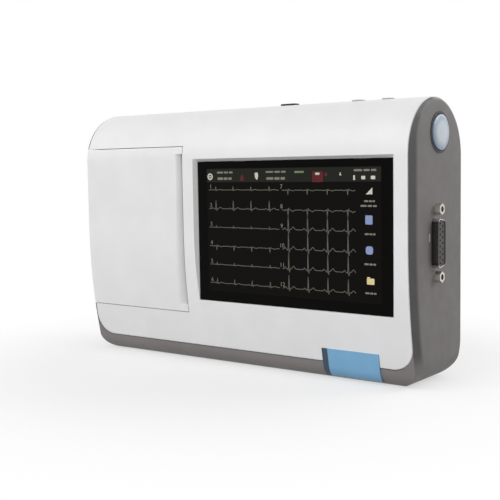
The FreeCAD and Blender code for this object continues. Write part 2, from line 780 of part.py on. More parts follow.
def make_rear_housing(skin, core):
    """Grey back, bottom and end panels with the battery bay, bosses and cut-outs."""
    far = float(case_w)
    shallow = float(s.wall) + float(s.seam)
    white_room = slab(-shallow, far).cut(slab(shallow, far)).common(
        front_prism(white_x, s.band_h, s.white_corner_r, -s.case_d, s.parting_y))
    front_cut = feature("white_room", white_room)
    hinge_clear = hinge_y + s.end_wall / 2 + s.door_gap
    door_cut = box("door_room", (-case_w, -s.case_d, s.door_low_z - s.door_gap),
                   (-in_x + s.seam, hinge_clear, door_high_z + s.door_gap))
    shell = cut("rear_skin", skin, front_cut, door_cut)

    (left, low), (right, high) = battery_bounds(s.battery_room + s.tray_wall)
    bay_y = in_y - s.battery_t - 2 * s.battery_room - s.tray_wall
    inside = [box("battery_walls", (left, bay_y, low), (right, half_d, high))]
    (left, low), (right, high) = battery_bounds(s.battery_room + s.ledge + s.tray_wall)
    inside.append(box("battery_ledge", (left, in_y - s.tray_wall, low), (right, half_d, high)))
    inside += [rod("cover_boss", "y", at, in_y - 4 * s.small_screw_r, half_d, s.small_boss_r)
               for at in cover_screw_spots()]
    inside += [rod("rear_boss", "y", (x, z), s.seam, half_d, s.case_boss_r + s.small_screw_r)
               for x, z in case_screw_spots()]
    inside += [rod("tray_pad", "y", at, tray_back_y, half_d, s.small_boss_r)
               for at in tray_screw_spots()]
    bosses = common("rear_inside", fuse("rear_inside_blank", *inside), core)
    board_posts = [rod("switch_post", "x", at, switch_board_x + s.board_t, half_w - s.end_wall / 2,
                       s.small_boss_r) for at in switch_board_spots()]
    solid = fuse("rear_solid", shell, bosses, *board_posts)

    tools = []
    (left, low), (right, high) = battery_bounds(s.battery_room)
    tools.append(box("battery_bay", (left, bay_y + s.tray_wall, low), (right, s.case_d, high)))
    (left, low), (right, high) = battery_bounds(s.battery_room + s.ledge + s.rest_gap)
    tools.append(box("cover_seat", (left, half_d - s.cover_t, low), (right, s.case_d, high)))
    tools += [rod("cover_pilot", "y", at, in_y - 3 * s.small_screw_r, half_d, s.small_screw_r + s.press)
              for at in cover_screw_spots()]
    sink_y = 6 * s.small_screw_r
    for x, z in case_screw_spots():
        tools.append(rod("case_hole", "y", (x, z), 0, s.case_d, s.case_screw_r + s.seam))
        tools.append(rod("case_sink", "y", (x, z), sink_y, s.case_d, 2 * s.case_screw_r + s.seam))
    tray_sink = half_d - s.wall / 2
    for at in tray_screw_spots():
        tools.append(rod("tray_hole", "y", at, tray_back_y - s.wall, s.case_d, s.small_screw_r + s.seam))
        tools.append(rod("tray_sink", "y", at, tray_sink, s.case_d, 2 * s.small_screw_r + s.seam))
    tools += [rod("switch_pilot", "x", at, switch_board_x, half_w - s.end_wall, s.small_screw_r + s.press)
              for at in switch_board_spots()]
    at = (s.button_y, button_z)
    tools.append(rod("button_hole", "x", at, in_x - s.wall, case_w, button_ring_r + s.ring_flange / 2
                     + s.press))
    tools.append(rod("button_sink", "x", at, half_w - s.end_wall / 2, case_w,
                     button_ring_r + s.ring_flange + s.press))
    tools.append(lead_outline("lead_hole", s.rest_gap, in_x - s.wall, half_w + s.wall))
    tools += [rod("post_hole", "x", (s.lead_y, z), in_x - s.wall, half_w + s.wall, s.post_thread_r + s.seam)
              for z in post_heights()]
    slot_y = s.platen_y + s.platen_r
    tools.append(box("paper_slot", (-case_w, slot_y - s.slot_w / 2, paper_low_z - s.wall),
                     (-in_x + s.seam, slot_y + s.slot_w / 2, paper_low_z + s.paper_w + s.wall)))
    tools += [rod("hinge_hole", "z", (hinge_x, hinge_y), start, end, s.pin_r + s.press)
              for start, end in hinge_seats()]
    tools += speaker_slots()
    node(cut("rear_housing", solid, *tools), "rear_housing")
    node(group("case_screws", [
        screw("case_screw", "y", (x, z), sink_y, -s.pocket_d + s.wall, s.case_screw_r, 1)
        for x, z in case_screw_spots()]), "case_screws")
    make_back_pieces()


def speaker_slots():
    """Five upright sound slots in the back wall, shorter towards the sides."""
    slots = []
    pitch = s.speaker_r * 0.36
    width = s.speaker_r * 0.15
    for step in (-2, -1, 0, 1, 2):
        reach = s.speaker_r * math.cos(step * 0.42) * 0.8
        x = speaker_x + step * pitch
        slots.append(box("sound_slot", (x - width / 2, in_y - s.wall, speaker_z - reach),
                         (x + width / 2, s.case_d, speaker_z + reach)))
    return slots


def make_back_pieces():
    """Battery, its cover, the speaker and the feet the recorder lies on."""
    (left, low), (right, high) = battery_bounds(0)
    pack_y = in_y - s.battery_t - s.battery_room
    node(box("battery", (left, pack_y, low), (right, pack_y + s.battery_t, high)), "battery_pack")
    (left, low), (right, high) = battery_bounds(s.battery_room + s.ledge)
    holes = [(at, s.small_screw_r + s.seam) for at in cover_screw_spots()]
    seat = half_d - s.cover_t + s.seam / 2
    node(plate("cover", "y", seat, half_d, [rectangle(left, low, right, high)], holes), "battery_cover")
    node(group("cover_screws", [
        screw("cover_screw", "y", at, half_d, in_y - 2 * s.small_screw_r, s.small_screw_r, 1)
        for at in cover_screw_spots()]), "battery_cover_screws")
    rim = s.speaker_r * 0.8
    node(turned("speaker", "y", (speaker_x, speaker_z), in_y - 5.5 * s.small_screw_r, (
        (0, 0), (s.speaker_r * 0.55, 0), (s.speaker_r * 0.55, 2.5 * s.small_screw_r),
        (s.speaker_r, 4 * s.small_screw_r), (s.speaker_r, 5.5 * s.small_screw_r),
        (rim, 5.5 * s.small_screw_r), (rim * 0.4, 3.5 * s.small_screw_r), (0, 3.5 * s.small_screw_r))),
        "speaker")
    feet = [turned("foot", "y", (x, z), half_d, (
        (0, 0), (s.foot_r, 0), (s.foot_r, s.foot_t * 0.6), (s.foot_r - s.foot_t * 0.4, s.foot_t),
        (0, s.foot_t))) for x in (-foot_x, foot_x) for z in (s.foot_low_z, foot_high_z)]
    node(group("feet", feet), "back_feet")
    node(group("tray_screws", [
        screw("tray_screw", "y", at, half_d - s.wall / 2, tray_back_y - s.tray_wall, s.small_screw_r, 1)
        for at in tray_screw_spots()]), "tray_screws")


def hinge_seats():
    """The two stretches of the hinge line inside the grey end panel."""
    low = s.door_low_z - s.door_gap
    high = door_high_z + s.door_gap
    return [(low - s.pin_hold, low), (high, high + s.pin_hold)]


def down_front(section, low, high):
    """A level section carried along the front, up from its bend and down round its lean."""
    bend_z, bend_r = float(s.front_bend_z), float(s.front_bend_r)
    upright = section.extrude(Vector(0, 0, float(high) - bend_z))
    angle = math.degrees(math.asin((bend_z - float(low)) / bend_r))
    lean = section.revolve(Vector(0, bend_r - float(half_d), bend_z), Vector(1, 0, 0), angle)
    return upright.fuse(lean).removeSplitter()


def level_face(lines):
    """A level face inside the given edges."""
    return Part.Face(Part.Wire(lines))


def level_loop(points):
    """Straight edges from point to point."""
    return [Part.makeLine(start, end) for start, end in zip(points, points[1:])]


def at_bend(x, y):
    """A point at the height where the front starts to lean, y measured back from the face."""
    return Vector(float(x), float(y) - float(half_d), float(s.front_bend_z))


def grip_section():
    """What the grip takes off the door's free edge, seen from above."""
    edge, wide, deep = float(door_right - s.grip_gap), float(s.grip_w), float(s.grip_depth)
    out = float(s.grip_gap + s.wall)
    chord = math.hypot(wide, deep)
    rise = float(s.grip_bulge) / chord
    start, end = at_bend(edge - wide, 0), at_bend(edge, deep)
    middle = at_bend(edge - wide / 2 + deep * rise, deep / 2 - wide * rise)
    back = deep + 2 * float(s.lip_t)
    return level_face([arc(start, middle, end)] + level_loop(
        [end, at_bend(edge, back), at_bend(edge + out, back), at_bend(edge + out, -out),
         at_bend(edge - wide, -out), start]))


def lip_section():
    """The lip behind the grip, seen from above."""
    edge, back = float(door_right - s.grip_gap), float(s.grip_depth + s.lip_t)
    left, start = edge - float(s.lip_w), float(s.wall) / 2
    return level_face(level_loop([at_bend(left, start), at_bend(edge, start), at_bend(edge, back),
                                  at_bend(left, back), at_bend(left, start)]))


def make_door(skin):
    """White door: a panel that turns the left corner and swings on a rounded edge."""
    blank = common("door_blank", skin, box(
        "door_bounds", (-case_w, -s.case_d, s.door_low_z), (door_right, hinge_y, door_high_z)))
    edge = rod("door_edge", "z", (hinge_x, hinge_y), s.door_low_z, door_high_z, s.end_wall / 2)
    lip_room = s.lip_t / 2
    lip = feature("door_lip", down_front(lip_section(), grip_low - lip_room, grip_high + lip_room))
    grip = feature("door_grip", down_front(grip_section(), grip_low, grip_high))
    tools = [grip]
    tools += [rod("door_hole", "z", (hinge_x, hinge_y), start, end, s.pin_r + s.running)
              for start, end in ((s.door_low_z, s.door_low_z + s.pin_hold + s.rest_gap),
                                 (door_high_z - s.pin_hold - s.rest_gap, door_high_z))]
    node(cut("door", fuse("door_solid", blank, edge, lip), *tools), "printer_door")
    pins = [rod("hinge_pin", "z", (hinge_x, hinge_y), s.door_low_z - s.door_gap - s.pin_hold,
                s.door_low_z + s.pin_hold, s.pin_r),
            rod("hinge_pin", "z", (hinge_x, hinge_y), door_high_z - s.pin_hold,
                door_high_z + s.door_gap + s.pin_hold, s.pin_r)]
    node(group("hinge_pins", pins), "door_hinge_pins")


def make_tab():
    """Pale blue tab that follows the lower front over the white and the grey."""
    skin = feature("tab_skin", slab(-float(s.tab_t), half_w).cut(slab(-float(s.press), case_w)))
    window = box("tab_window", (tab_x - s.tab_w / 2, -s.case_d, s.tab_low_z),
                 (tab_x + s.tab_w / 2, 0, s.tab_high_z))
    node(common("tab", skin, window), "lower_tab")


def make_display():
    """Glass, gasket, display module, bracket, main board and their fasteners."""
    face = rectangle(glass_left, s.glass_low_z, glass_right, glass_high_z)
    node(plate("glass", "y", glass_y, gasket_y, [face]), "touch_glass")
    opening = rectangle(glass_left + s.gasket_w, s.glass_low_z + s.gasket_w,
                        glass_right - s.gasket_w, glass_high_z - s.gasket_w)
    node(plate("gasket", "y", gasket_y, lcd_y, [face, opening]), "glass_gasket")
    node(box("lcd", (glass_left + s.lcd_edge, lcd_y, s.glass_low_z + s.lcd_edge),
             (glass_right - s.lcd_edge, bracket_y, glass_high_z - s.lcd_edge)), "lcd_module")
    reach = s.strap_reach + s.strap_w / 2
    straps = [box("strap", (glass_x + side * s.strap_pitch / 2 - s.strap_w / 2, bracket_y,
                            s.glass_low_z - reach),
                  (glass_x + side * s.strap_pitch / 2 + s.strap_w / 2, standoff_y,
                   glass_high_z + reach)) for side in (-1, 1)]
    back = box("bracket_back", (glass_left + s.lcd_edge, bracket_y, s.glass_low_z + s.lcd_edge),
               (glass_right - s.lcd_edge, standoff_y, glass_high_z - s.lcd_edge))
    holes = [rod("bracket_hole", "y", at, lcd_y, board_y, s.small_screw_r + s.seam)
             for at in bracket_spots()]
    node(cut("bracket", fuse("bracket_blank", back, *straps), *holes), "lcd_bracket")
    node(group("bracket_screws", [
        screw("bracket_screw", "y", at, standoff_y, lcd_y + s.small_screw_r, s.small_screw_r, 1)
        for at in bracket_spots()]), "bracket_screws")

    spots = [(glass_x + sx * s.board_hole_x, board_z + sz * s.board_hole_z)
             for sx in (-1, 1) for sz in (-1, 1)]
    standoffs = []
    for at in spots:
        post = rod("standoff", "y", at, standoff_y, board_y, s.standoff_r)
        bore = rod("standoff_bore", "y", at, standoff_y + s.small_screw_r, board_y,
                   s.small_screw_r + s.press)
        standoffs.append(cut("threaded_standoff", post, bore))
    node(group("standoffs", standoffs), "board_standoffs")
    board_back = board_y + s.board_t
    half_bw, half_bh = s.board_w / 2, s.board_h / 2
    node(plate("board", "y", board_y, board_back,
               [rectangle(glass_x - half_bw, board_z - half_bh, glass_x + half_bw, board_z + half_bh)],
               [(at, s.small_screw_r + s.seam) for at in spots]), "main_board")
    node(group("board_screws", [
        screw("board_screw", "y", at, board_back, standoff_y + 2 * s.small_screw_r, s.small_screw_r, 1)
        for at in spots]), "board_screws")
    chips = []
    for dx, dz, width, height, depth in ((-0.2, 0.15, 0.22, 0.26, 1.0), (0.15, 0.2, 0.13, 0.2, 0.75),
                                         (0.15, -0.15, 0.13, 0.2, 0.75), (-0.2, -0.3, 0.3, 0.1, 2.5),
                                         (0.42, 0.0, 0.06, 0.5, 2.2)):
        x, z = glass_x + s.board_w * dx, board_z + s.board_h * dz
        w, h = s.board_w * (width / 2), s.board_h * (height / 2)
        top = board_back + s.board_t * depth
        chips.append(box("chip", (x - w, board_back, z - h), (x + w, top, z + h)))
    node(group("chips", chips), "board_components")


def make_power_button():
    """Domed cap in a ring, over a switch on its own small board."""
    at = (s.button_y, button_z)
    flange_in = ring_back_x - s.rest_gap
    flange_t = s.button_travel * 1.3
    cap_back = flange_in - flange_t
    switch_x = switch_board_x + s.board_t
    plunger_x = switch_x + s.switch_w * 0.6
    plunger_tip = plunger_x + s.rest_gap * 2
    stem_tip = plunger_tip + s.button_travel + s.rest_gap / 2
    start = stem_tip
    front = half_w + s.button_proud
    stem_r = s.button_r * 0.22
    keep_r = button_ring_r + s.ring_flange / 4
    node(turned("cap", "x", at, start, (
        (0, 0), (stem_r, 0), (stem_r, cap_back - start), (keep_r, cap_back - start),
        (keep_r, flange_in - start), (s.button_r, flange_in - start),
        (s.button_r, front - start), (s.button_r * 0.86, front + s.button_dome * 0.55 - start),
        (s.button_r * 0.5, front + s.button_dome * 0.9 - start), (0, front + s.button_dome - start))),
        "power_button")
    lip = half_w - s.end_wall / 2
    node(turned("ring", "x", at, ring_back_x, (
        (button_ring_r, 0), (button_ring_r + s.ring_flange / 2, 0),
        (button_ring_r + s.ring_flange / 2, lip - ring_back_x),
        (button_ring_r + s.ring_flange, lip - ring_back_x),
        (button_ring_r + s.ring_flange, half_w + s.rest_gap - ring_back_x),
        (button_ring_r, half_w + s.rest_gap - ring_back_x))), "power_button_ring")
    half = s.switch_w / 2
    body = box("switch_body", (switch_x, s.button_y - half, button_z - half),
               (plunger_x, s.button_y + half, button_z + half))
    plunger = rod("switch_plunger", "x", at, plunger_x - s.rest_gap, plunger_tip, stem_r)
    node(fuse("switch", body, plunger), "power_switch")
    reach = s.button_r + s.ring_flange + 2 * s.small_boss_r
    node(plate("switch_board", "x", switch_board_x, switch_x,
               [rectangle(s.button_y - reach, button_z - s.button_r - s.small_boss_r,
                          s.button_y + reach, button_z + s.switch_w)],
               [(spot_at, s.small_screw_r + s.seam) for spot_at in switch_board_spots()]),
         "power_switch_board")
    node(group("switch_screws", [
        screw("switch_screw", "x", spot_at, switch_board_x, switch_x + 3 * s.small_screw_r,
              s.small_screw_r, -1) for spot_at in switch_board_spots()]), "switch_board_screws")


def post_heights():
    """Heights of the two jack posts."""
    return [s.lead_z - s.post_pitch / 2, s.lead_z + s.post_pitch / 2]


def lead_outline(name, grow, start, end):
    """The socket's D outline, longer at the front side, carried along X."""
    half_long = float(s.shell_len) / 2 + float(grow)
    half_wide = float(s.shell_w) / 2 + float(grow)
    lean = 2 * half_wide * math.tan(math.radians(10))
    y, z, x = float(s.lead_y), float(s.lead_z), float(start)
    corners = [Vector(x, y - half_wide, z - half_long), Vector(x, y - half_wide, z + half_long),
               Vector(x, y + half_wide, z + half_long - lean),
               Vector(x, y + half_wide, z - half_long + lean)]
    face = Part.Face(Part.makePolygon(corners + corners[:1]))
    solid = face.extrude(Vector(float(end) - x, 0, 0))
    long_edges = [e for e in solid.Edges if abs(abs(e.tangentAt(e.FirstParameter).x) - 1) < 1e-6]
    return feature(name, solid.makeFillet(half_wide * 0.6, long_edges))


def lead_contacts():
    """Middle of each contact, in a row of eight and a row of seven."""
    spots = []
    for count, side in ((8, -1), (7, 1)):
        for step in range(count):
            z = s.lead_z + s.pin_pitch * (step - (count - 1) / 2)
            spots.append((s.lead_y + side * s.pin_rows / 2, z))
    return spots


def make_lead_socket():
    """Fifteen-way lead socket with its metal shell, insulator, contacts, posts and board."""
    tip = half_w + s.shell_reach
    skin = s.rest_gap * 1.5
    flange_x = in_x - s.bracket_t
    board_x = flange_x - s.switch_w
    outer = lead_outline("shell_outer", 0, flange_x, tip)
    half_y = s.shell_w / 2 + 2 * s.seam + s.tray_wall
    flange = box("shell_flange", (flange_x, s.lead_y - half_y, post_heights()[0] - s.post_flats / 2),
                 (in_x, s.lead_y + half_y, post_heights()[1] + s.post_flats / 2))
    post_holes = [rod("flange_hole", "x", (s.lead_y, z), board_x, tip, s.post_thread_r + s.seam)
                  for z in post_heights()]
    bore = lead_outline("shell_bore", -skin, flange_x - s.wall, tip + s.wall)
    node(cut("shell", fuse("shell_blank", outer, flange), bore, *post_holes), "lead_socket_shell")
    block = lead_outline("insulator_block", -skin - s.press, board_x + s.board_t, tip - s.rest_gap)
    hole_r = s.pin_pitch * 0.22
    holes = [rod("contact_hole", "x", at, tip - s.shell_reach, tip + s.wall, hole_r)
             for at in lead_contacts()]
    node(cut("insulator", block, *holes), "lead_socket_insulator")
    contacts = []
    for at in lead_contacts():
        tube = rod("contact_tube", "x", at, tip - s.shell_reach, tip - s.rest_gap * 3, hole_r - s.press)
        mouth = rod("contact_mouth", "x", at, tip - s.shell_reach + s.bracket_t, tip, hole_r * 0.6)
        contacts.append(cut("contact", tube, mouth))
    node(group("contacts", contacts), "lead_socket_contacts")
    posts = []
    for z in post_heights():
        hexagon = doc.addObject("Part::Prism", "post_hex")
        hexagon.Polygon = 6
        hexagon.setExpression("Circumradius", formula(s.post_flats / math.sqrt(3)))
        hexagon.setExpression("Height", formula(s.post_len))
        place(hexagon, (half_w, s.lead_y, z), ALONG["x"])
        tail = rod("post_tail", "x", (s.lead_y, z), flange_x - s.bracket_t, half_w, s.post_thread_r)
        thread = rod("post_thread", "x", (s.lead_y, z), half_w + s.rest_gap, half_w + case_w,
                     s.post_thread_r)
        posts.append(cut("jack_post", fuse("post_blank", hexagon, tail), thread))
    node(group("posts", posts), "lead_socket_posts")
    reach = s.shell_len / 2 + s.tray_wall
    node(plate("lead_board", "x", board_x, board_x + s.board_t,
               [rectangle(s.lead_y - 2 * s.shell_w, s.lead_z - 2 * reach + s.shell_w,
                          s.lead_y + s.shell_w, s.lead_z + 2 * reach - s.shell_w)]), "lead_board")


def make_ports():
    """Data port with its rubber cover, two jacks and the board that carries them."""
    half_x, half_y = s.usb_w / 2, s.usb_d / 2
    cover_z = in_top - s.wall / 2
    skin = s.rest_gap
    shell = box("usb_shell", (usb_x - half_x + skin, -half_y + skin, port_board_high),
                (usb_x + half_x - skin, half_y - skin, cover_z))
    mouth = box("usb_mouth", (usb_x - half_x + 2 * skin, -half_y + 2 * skin, port_board_high + s.wall),
                (usb_x + half_x - 2 * skin, half_y - 2 * skin, case_h))
    tongue = box("usb_tongue", (usb_x - half_x + 4 * skin, -skin, port_board_high + s.wall / 2),
                 (usb_x + half_x - 4 * skin, half_y - 4 * skin, cover_z - s.wall))
    node(fuse("usb", cut("usb_can", shell, mouth), tongue), "usb_socket")
    cover = box("usb_cover_blank", (usb_x - half_x, -half_y, cover_z + s.seam),
                (usb_x + half_x, half_y, case_h + s.usb_proud))
    soft = doc.addObject("Part::Fillet", "usb_cover")
    soft.Base = cover
    doc.recompute()
    top = float(case_h + s.usb_proud)
    soft.Edges = [(n, 0.6, 0.6) for n, e in enumerate(cover.Shape.Edges, start=1)
                  if all(abs(v.Z - top) < 1e-6 for v in e.Vertexes)]
    node(soft, "usb_cover")
    for x, radius, name in ((dc_x, s.dc_r, "dc_inlet"), (sync_x, s.sync_r, "sync_jack")):
        height = case_h + s.jack_proud - port_board_high
        bore = radius * 0.62
        lip = s.jack_proud * 0.6
        node(turned(f"{name}_body", "z", (x, 0), port_board_high, (
            (0, 0), (radius, 0), (radius, height - lip), (radius - lip, height),
            (bore, height), (bore, height * 0.35), (bore * 0.35, height * 0.35),
            (bore * 0.35, height * 0.8), (0, height * 0.8))), name)
    half_board = s.usb_d + s.wall
    left, right = usb_x - s.usb_w, sync_x + 2 * s.sync_r
    node(plate("port_plate", "z", port_board_z, port_board_high,
               [rectangle(left, -half_board, right, half_board)],
               [((x, 0), s.small_screw_r + s.seam) for x in port_board_spots()]), "port_board")
    node(group("port_screws", [
        screw("port_screw", "z", (x, 0), port_board_z, port_board_high + 4 * s.small_screw_r,
              s.small_screw_r, -1) for x in port_board_spots()]), "port_board_screws")


def gear_centres():
    """Middles of the platen gear, the idler and the motor pinion."""
    pitch = {name: s.gear_module * (teeth / 2) for name, teeth in GEAR_TEETH.items()}
    first, second = math.radians(float(s.idler_angle)), math.radians(float(s.pinion_angle))
    reach = pitch["platen"] + pitch["idler"]
    idler = (platen_x + reach * math.cos(first), s.platen_y + reach * math.sin(first))
    reach = pitch["idler"] + pitch["pinion"]
    pinion = (idler[0] + reach * math.cos(second), idler[1] + reach * math.sin(second))
    return {"platen": (platen_x, s.platen_y), "idler": idler, "pinion": pinion}


def gear_phases():
    """Angle of one tooth on each gear, so that the teeth mesh where they stand."""
    first, second = math.radians(float(s.idler_angle)), math.radians(float(s.pinion_angle))
    step = {name: 2 * math.pi / teeth for name, teeth in GEAR_TEETH.items()}
    idler = first + math.pi + step["idler"] / 2
    lag = (second - idler) % step["idler"] * GEAR_TEETH["idler"] / GEAR_TEETH["pinion"]
    return {"platen": first, "idler": idler, "pinion": second + math.pi + lag + step["pinion"] / 2}


def gear_face(teeth, phase):
    """The outline of an involute gear as a flat face."""
    module = float(s.gear_module)
    pitch_r = module * teeth / 2
    base_r = pitch_r * math.cos(PRESSURE_ANGLE)
    tip_r, root_r = pitch_r + 0.9 * module, pitch_r - 1.2 * module
    foot_r = max(base_r, root_r)
    half_pitch = math.pi / (2 * teeth) - float(s.backlash) / (4 * pitch_r)

    def involute(angle):
        return math.tan(angle) - angle

    def half_angle(radius):
        return half_pitch + involute(PRESSURE_ANGLE) - involute(math.acos(min(base_r / radius, 1.0)))

    def at(radius, angle):
        return Vector(radius * math.cos(angle), radius * math.sin(angle), 0)

    radii = [foot_r + (tip_r - foot_r) * share for share in (0.0, 0.3, 0.65, 1.0)]
    edges = []
    for tooth in range(teeth):
        middle = phase + 2 * math.pi * tooth / teeth
        following = middle + 2 * math.pi / teeth
        rising = [at(r, middle - half_angle(r)) for r in radii]
        falling = [at(r, middle + half_angle(r)) for r in reversed(radii)]
        foot = half_angle(foot_r)
        for points in (rising, falling):
            flank = Part.BSplineCurve()
            flank.interpolate(points)
            edges.append(flank.toShape())
        edges.append(arc(rising[-1], at(tip_r, middle), falling[0]))
        end, start = middle + foot, following - foot
        edges.append(arc(at(root_r, end), at(root_r, (end + start) / 2), at(root_r, start)))
        if foot_r > root_r:
            edges.append(Part.makeLine(falling[-1], at(root_r, end)))
            edges.append(Part.makeLine(at(root_r, start), at(foot_r, start)))
    return Part.Face(Part.Wire(Part.__sortEdges__(edges)))


def gear(name, kind, bore_r):
    """A gear standing in the gear plane, in mesh with its neighbours."""
    thickness = float(s.gear_t)
    blank = gear_face(GEAR_TEETH[kind], gear_phases()[kind]).extrude(Vector(0, 0, thickness))
    wheel = feature(name, blank.cut(Part.makeCylinder(float(bore_r), thickness)))
    x, y = gear_centres()[kind]
    return place(wheel, (x, y, gear_low_z))


def make_printer():
    """Tray, paper roll, platen and its drive, thermal head and tear bar."""
    make_tray()
    make_roll()
    make_platen()
    make_drive()
    make_head()
    make_tear_bar()


def make_tray():
    """Open-fronted tray with floor, lid, back, right side and a rib behind the head."""
    low = box("tray_floor", (tray_left_x, tray_front_y, tray_low_z),
              (tray_right_x, tray_back_y, tray_in_low))
    high = box("tray_lid", (tray_left_x, tray_front_y, tray_in_high),
               (tray_right_x, tray_back_y, tray_high_z))
    back = box("tray_back", (tray_left_x, tray_back_y - s.tray_wall, tray_low_z),
               (tray_right_x, tray_back_y, tray_high_z))
    side = box("tray_side", (tray_right_x - s.tray_wall, tray_front_y, tray_low_z),
               (tray_right_x, tray_back_y, tray_high_z))
    rib = box("tray_rib", (tray_left_x + s.tray_wall, rib_y, tray_low_z),
              (platen_x + s.platen_r, rib_y + s.tray_wall, tray_high_z))
    tools = [rod("spindle_hole", "z", (roll_x, roll_y), tray_low_z - s.wall, tray_high_z + s.wall,
                 s.spindle_end_r + s.press),
             rod("bush_hole", "z", (platen_x, s.platen_y), tray_low_z - s.wall, tray_high_z + s.wall,
                 s.platen_shaft_r + s.bush_t + s.press)]
    tools += [rod("tray_pilot", "y", at, tray_back_y - s.case_screw_r * 2, tray_back_y + s.wall,
                  s.small_screw_r + s.press) for at in tray_screw_spots()]
    tools += [rod("spacer_pilot", "z", at, tray_low_z - s.wall, tray_in_low + s.wall,
                  s.small_screw_r + s.press) for at in spacer_spots()]
    room = feature("tray_room", slab(float(s.wall + s.rest_gap), half_w))
    blank = common("tray_inside", fuse("tray_blank", low, high, back, side, rib), room)
    node(cut("tray", blank, *tools), "paper_tray")


def make_roll():
    """Paper roll on its core, and the spindle it turns on."""
    at = (roll_x, roll_y)
    inside = s.rest_gap
    span = tray_in_high - tray_in_low
    neck = s.tray_wall + inside
    node(turned("spindle", "z", at, tray_low_z, (
        (0, 0), (s.spindle_end_r, 0), (s.spindle_end_r, neck), (s.spindle_r, neck),
        (s.spindle_r, neck + span - 2 * inside), (s.spindle_end_r, neck + span - 2 * inside),
        (s.spindle_end_r, 2 * neck + span - 2 * inside), (0, 2 * neck + span - 2 * inside))),
        "paper_spindle")
    core_low = paper_low_z - inside
    core = sleeve(s.spindle_r + s.running, s.core_r, s.paper_w + 2 * inside)
    paper = sleeve(s.core_r + s.press, s.roll_r, s.paper_w)
    node(turned("core", "z", at, core_low, core), "roll_core")
    node(turned("paper", "z", at, paper_low_z, paper), "paper_roll")


def make_platen():
    """Rubber platen on a steel shaft, in two flanged bushes."""
    at = (platen_x, s.platen_y)
    node(turned("platen", "z", at, paper_low_z,
                sleeve(s.platen_shaft_r + s.press, s.platen_r, s.paper_w)), "platen_roller")
    shaft_low = gear_low_z - s.rest_gap
    shaft_high = tray_high_z + s.tray_wall
    node(rod("platen_bar", "z", at, shaft_low, shaft_high, s.platen_shaft_r), "platen_shaft")
    inner, outer = s.platen_shaft_r + s.running, s.platen_shaft_r + s.bush_t
    rim = outer + s.bush_t / 2
    lip = s.bush_t / 2
    low = turned("low_bush", "z", at, tray_low_z, (
        (inner, 0), (outer, 0), (outer, s.tray_wall), (rim, s.tray_wall), (rim, s.tray_wall + lip),
        (inner, s.tray_wall + lip)))
    high = turned("high_bush", "z", at, tray_in_high - lip, (
        (inner, 0), (rim, 0), (rim, lip), (outer, lip), (outer, lip + s.tray_wall),
        (inner, lip + s.tray_wall)))
    node(group("bushes", [low, high]), "platen_bushes")


def spacer_spots():
    """Where the gear plate hangs from the tray, clear of the three gears."""
    left = platen_x - s.platen_r
    pinion_x, pinion_y = gear_centres()["pinion"]
    right = pinion_x + s.motor_r
    back = pinion_y + s.motor_r
    front = pinion_y - 1.5 * s.motor_r
    return [(left, back - 2 * s.small_boss_r), (right, back), (right, front)]


def make_drive():
    """Motor, pinion, idler, platen gear and the plate that carries them."""
    centres = gear_centres()
    node(gear("platen_wheel", "platen", s.platen_shaft_r + s.press), "platen_gear")
    node(gear("idler_wheel", "idler", s.idler_pin_r + s.running), "idler_gear")
    pinion_wheel = gear("pinion_wheel", "pinion", s.motor_shaft_r)
    motor_low = gear_plate_low - s.motor_h
    shaft = rod("motor_shaft", "z", centres["pinion"], gear_plate_low - s.motor_h / 2, gear_high_z,
                s.motor_shaft_r)
    node(fuse("pinion", pinion_wheel, shaft), "motor_pinion")
    boss_r = s.motor_shaft_r * 3.5
    boss_h = s.gear_plate_t * 0.8
    bore = s.motor_shaft_r + s.running
    depth = s.motor_h / 2 - s.rest_gap
    node(turned("motor", "z", centres["pinion"], motor_low, (
        (0, 0), (s.motor_r, 0), (s.motor_r, s.motor_h), (boss_r, s.motor_h), (boss_r, s.motor_h + boss_h),
        (bore, s.motor_h + boss_h), (bore, s.motor_h - depth - 2 * s.rest_gap),
        (0, s.motor_h - depth - 2 * s.rest_gap))), "stepper_motor")
    node(rod("idler_axle", "z", centres["idler"], gear_plate_high, gear_high_z + 2 * s.rest_gap,
             s.idler_pin_r), "idler_pin")
    spots = spacer_spots()
    margin = s.small_boss_r + s.bush_t
    left, right = spots[0][0] - margin, spots[1][0] + margin
    front, back = spots[2][1] - margin, spots[1][1] + margin
    holes = [(at, s.small_screw_r + s.seam) for at in spots]
    holes.append((centres["pinion"], boss_r + s.press))
    node(plate("drive_plate", "z", gear_plate_low, gear_plate_high,
               [rectangle(left, front, right, back)], holes), "gear_plate")
    spacers = [turned("spacer", "z", at, gear_plate_high, sleeve(
        s.small_screw_r + s.seam, s.small_boss_r, tray_low_z - gear_plate_high)) for at in spots]
    node(group("spacers", spacers), "gear_plate_spacers")
    node(group("plate_screws", [
        screw("plate_screw", "z", at, gear_plate_low, tray_in_low, s.small_screw_r, -1)
        for at in spots]), "gear_plate_screws")


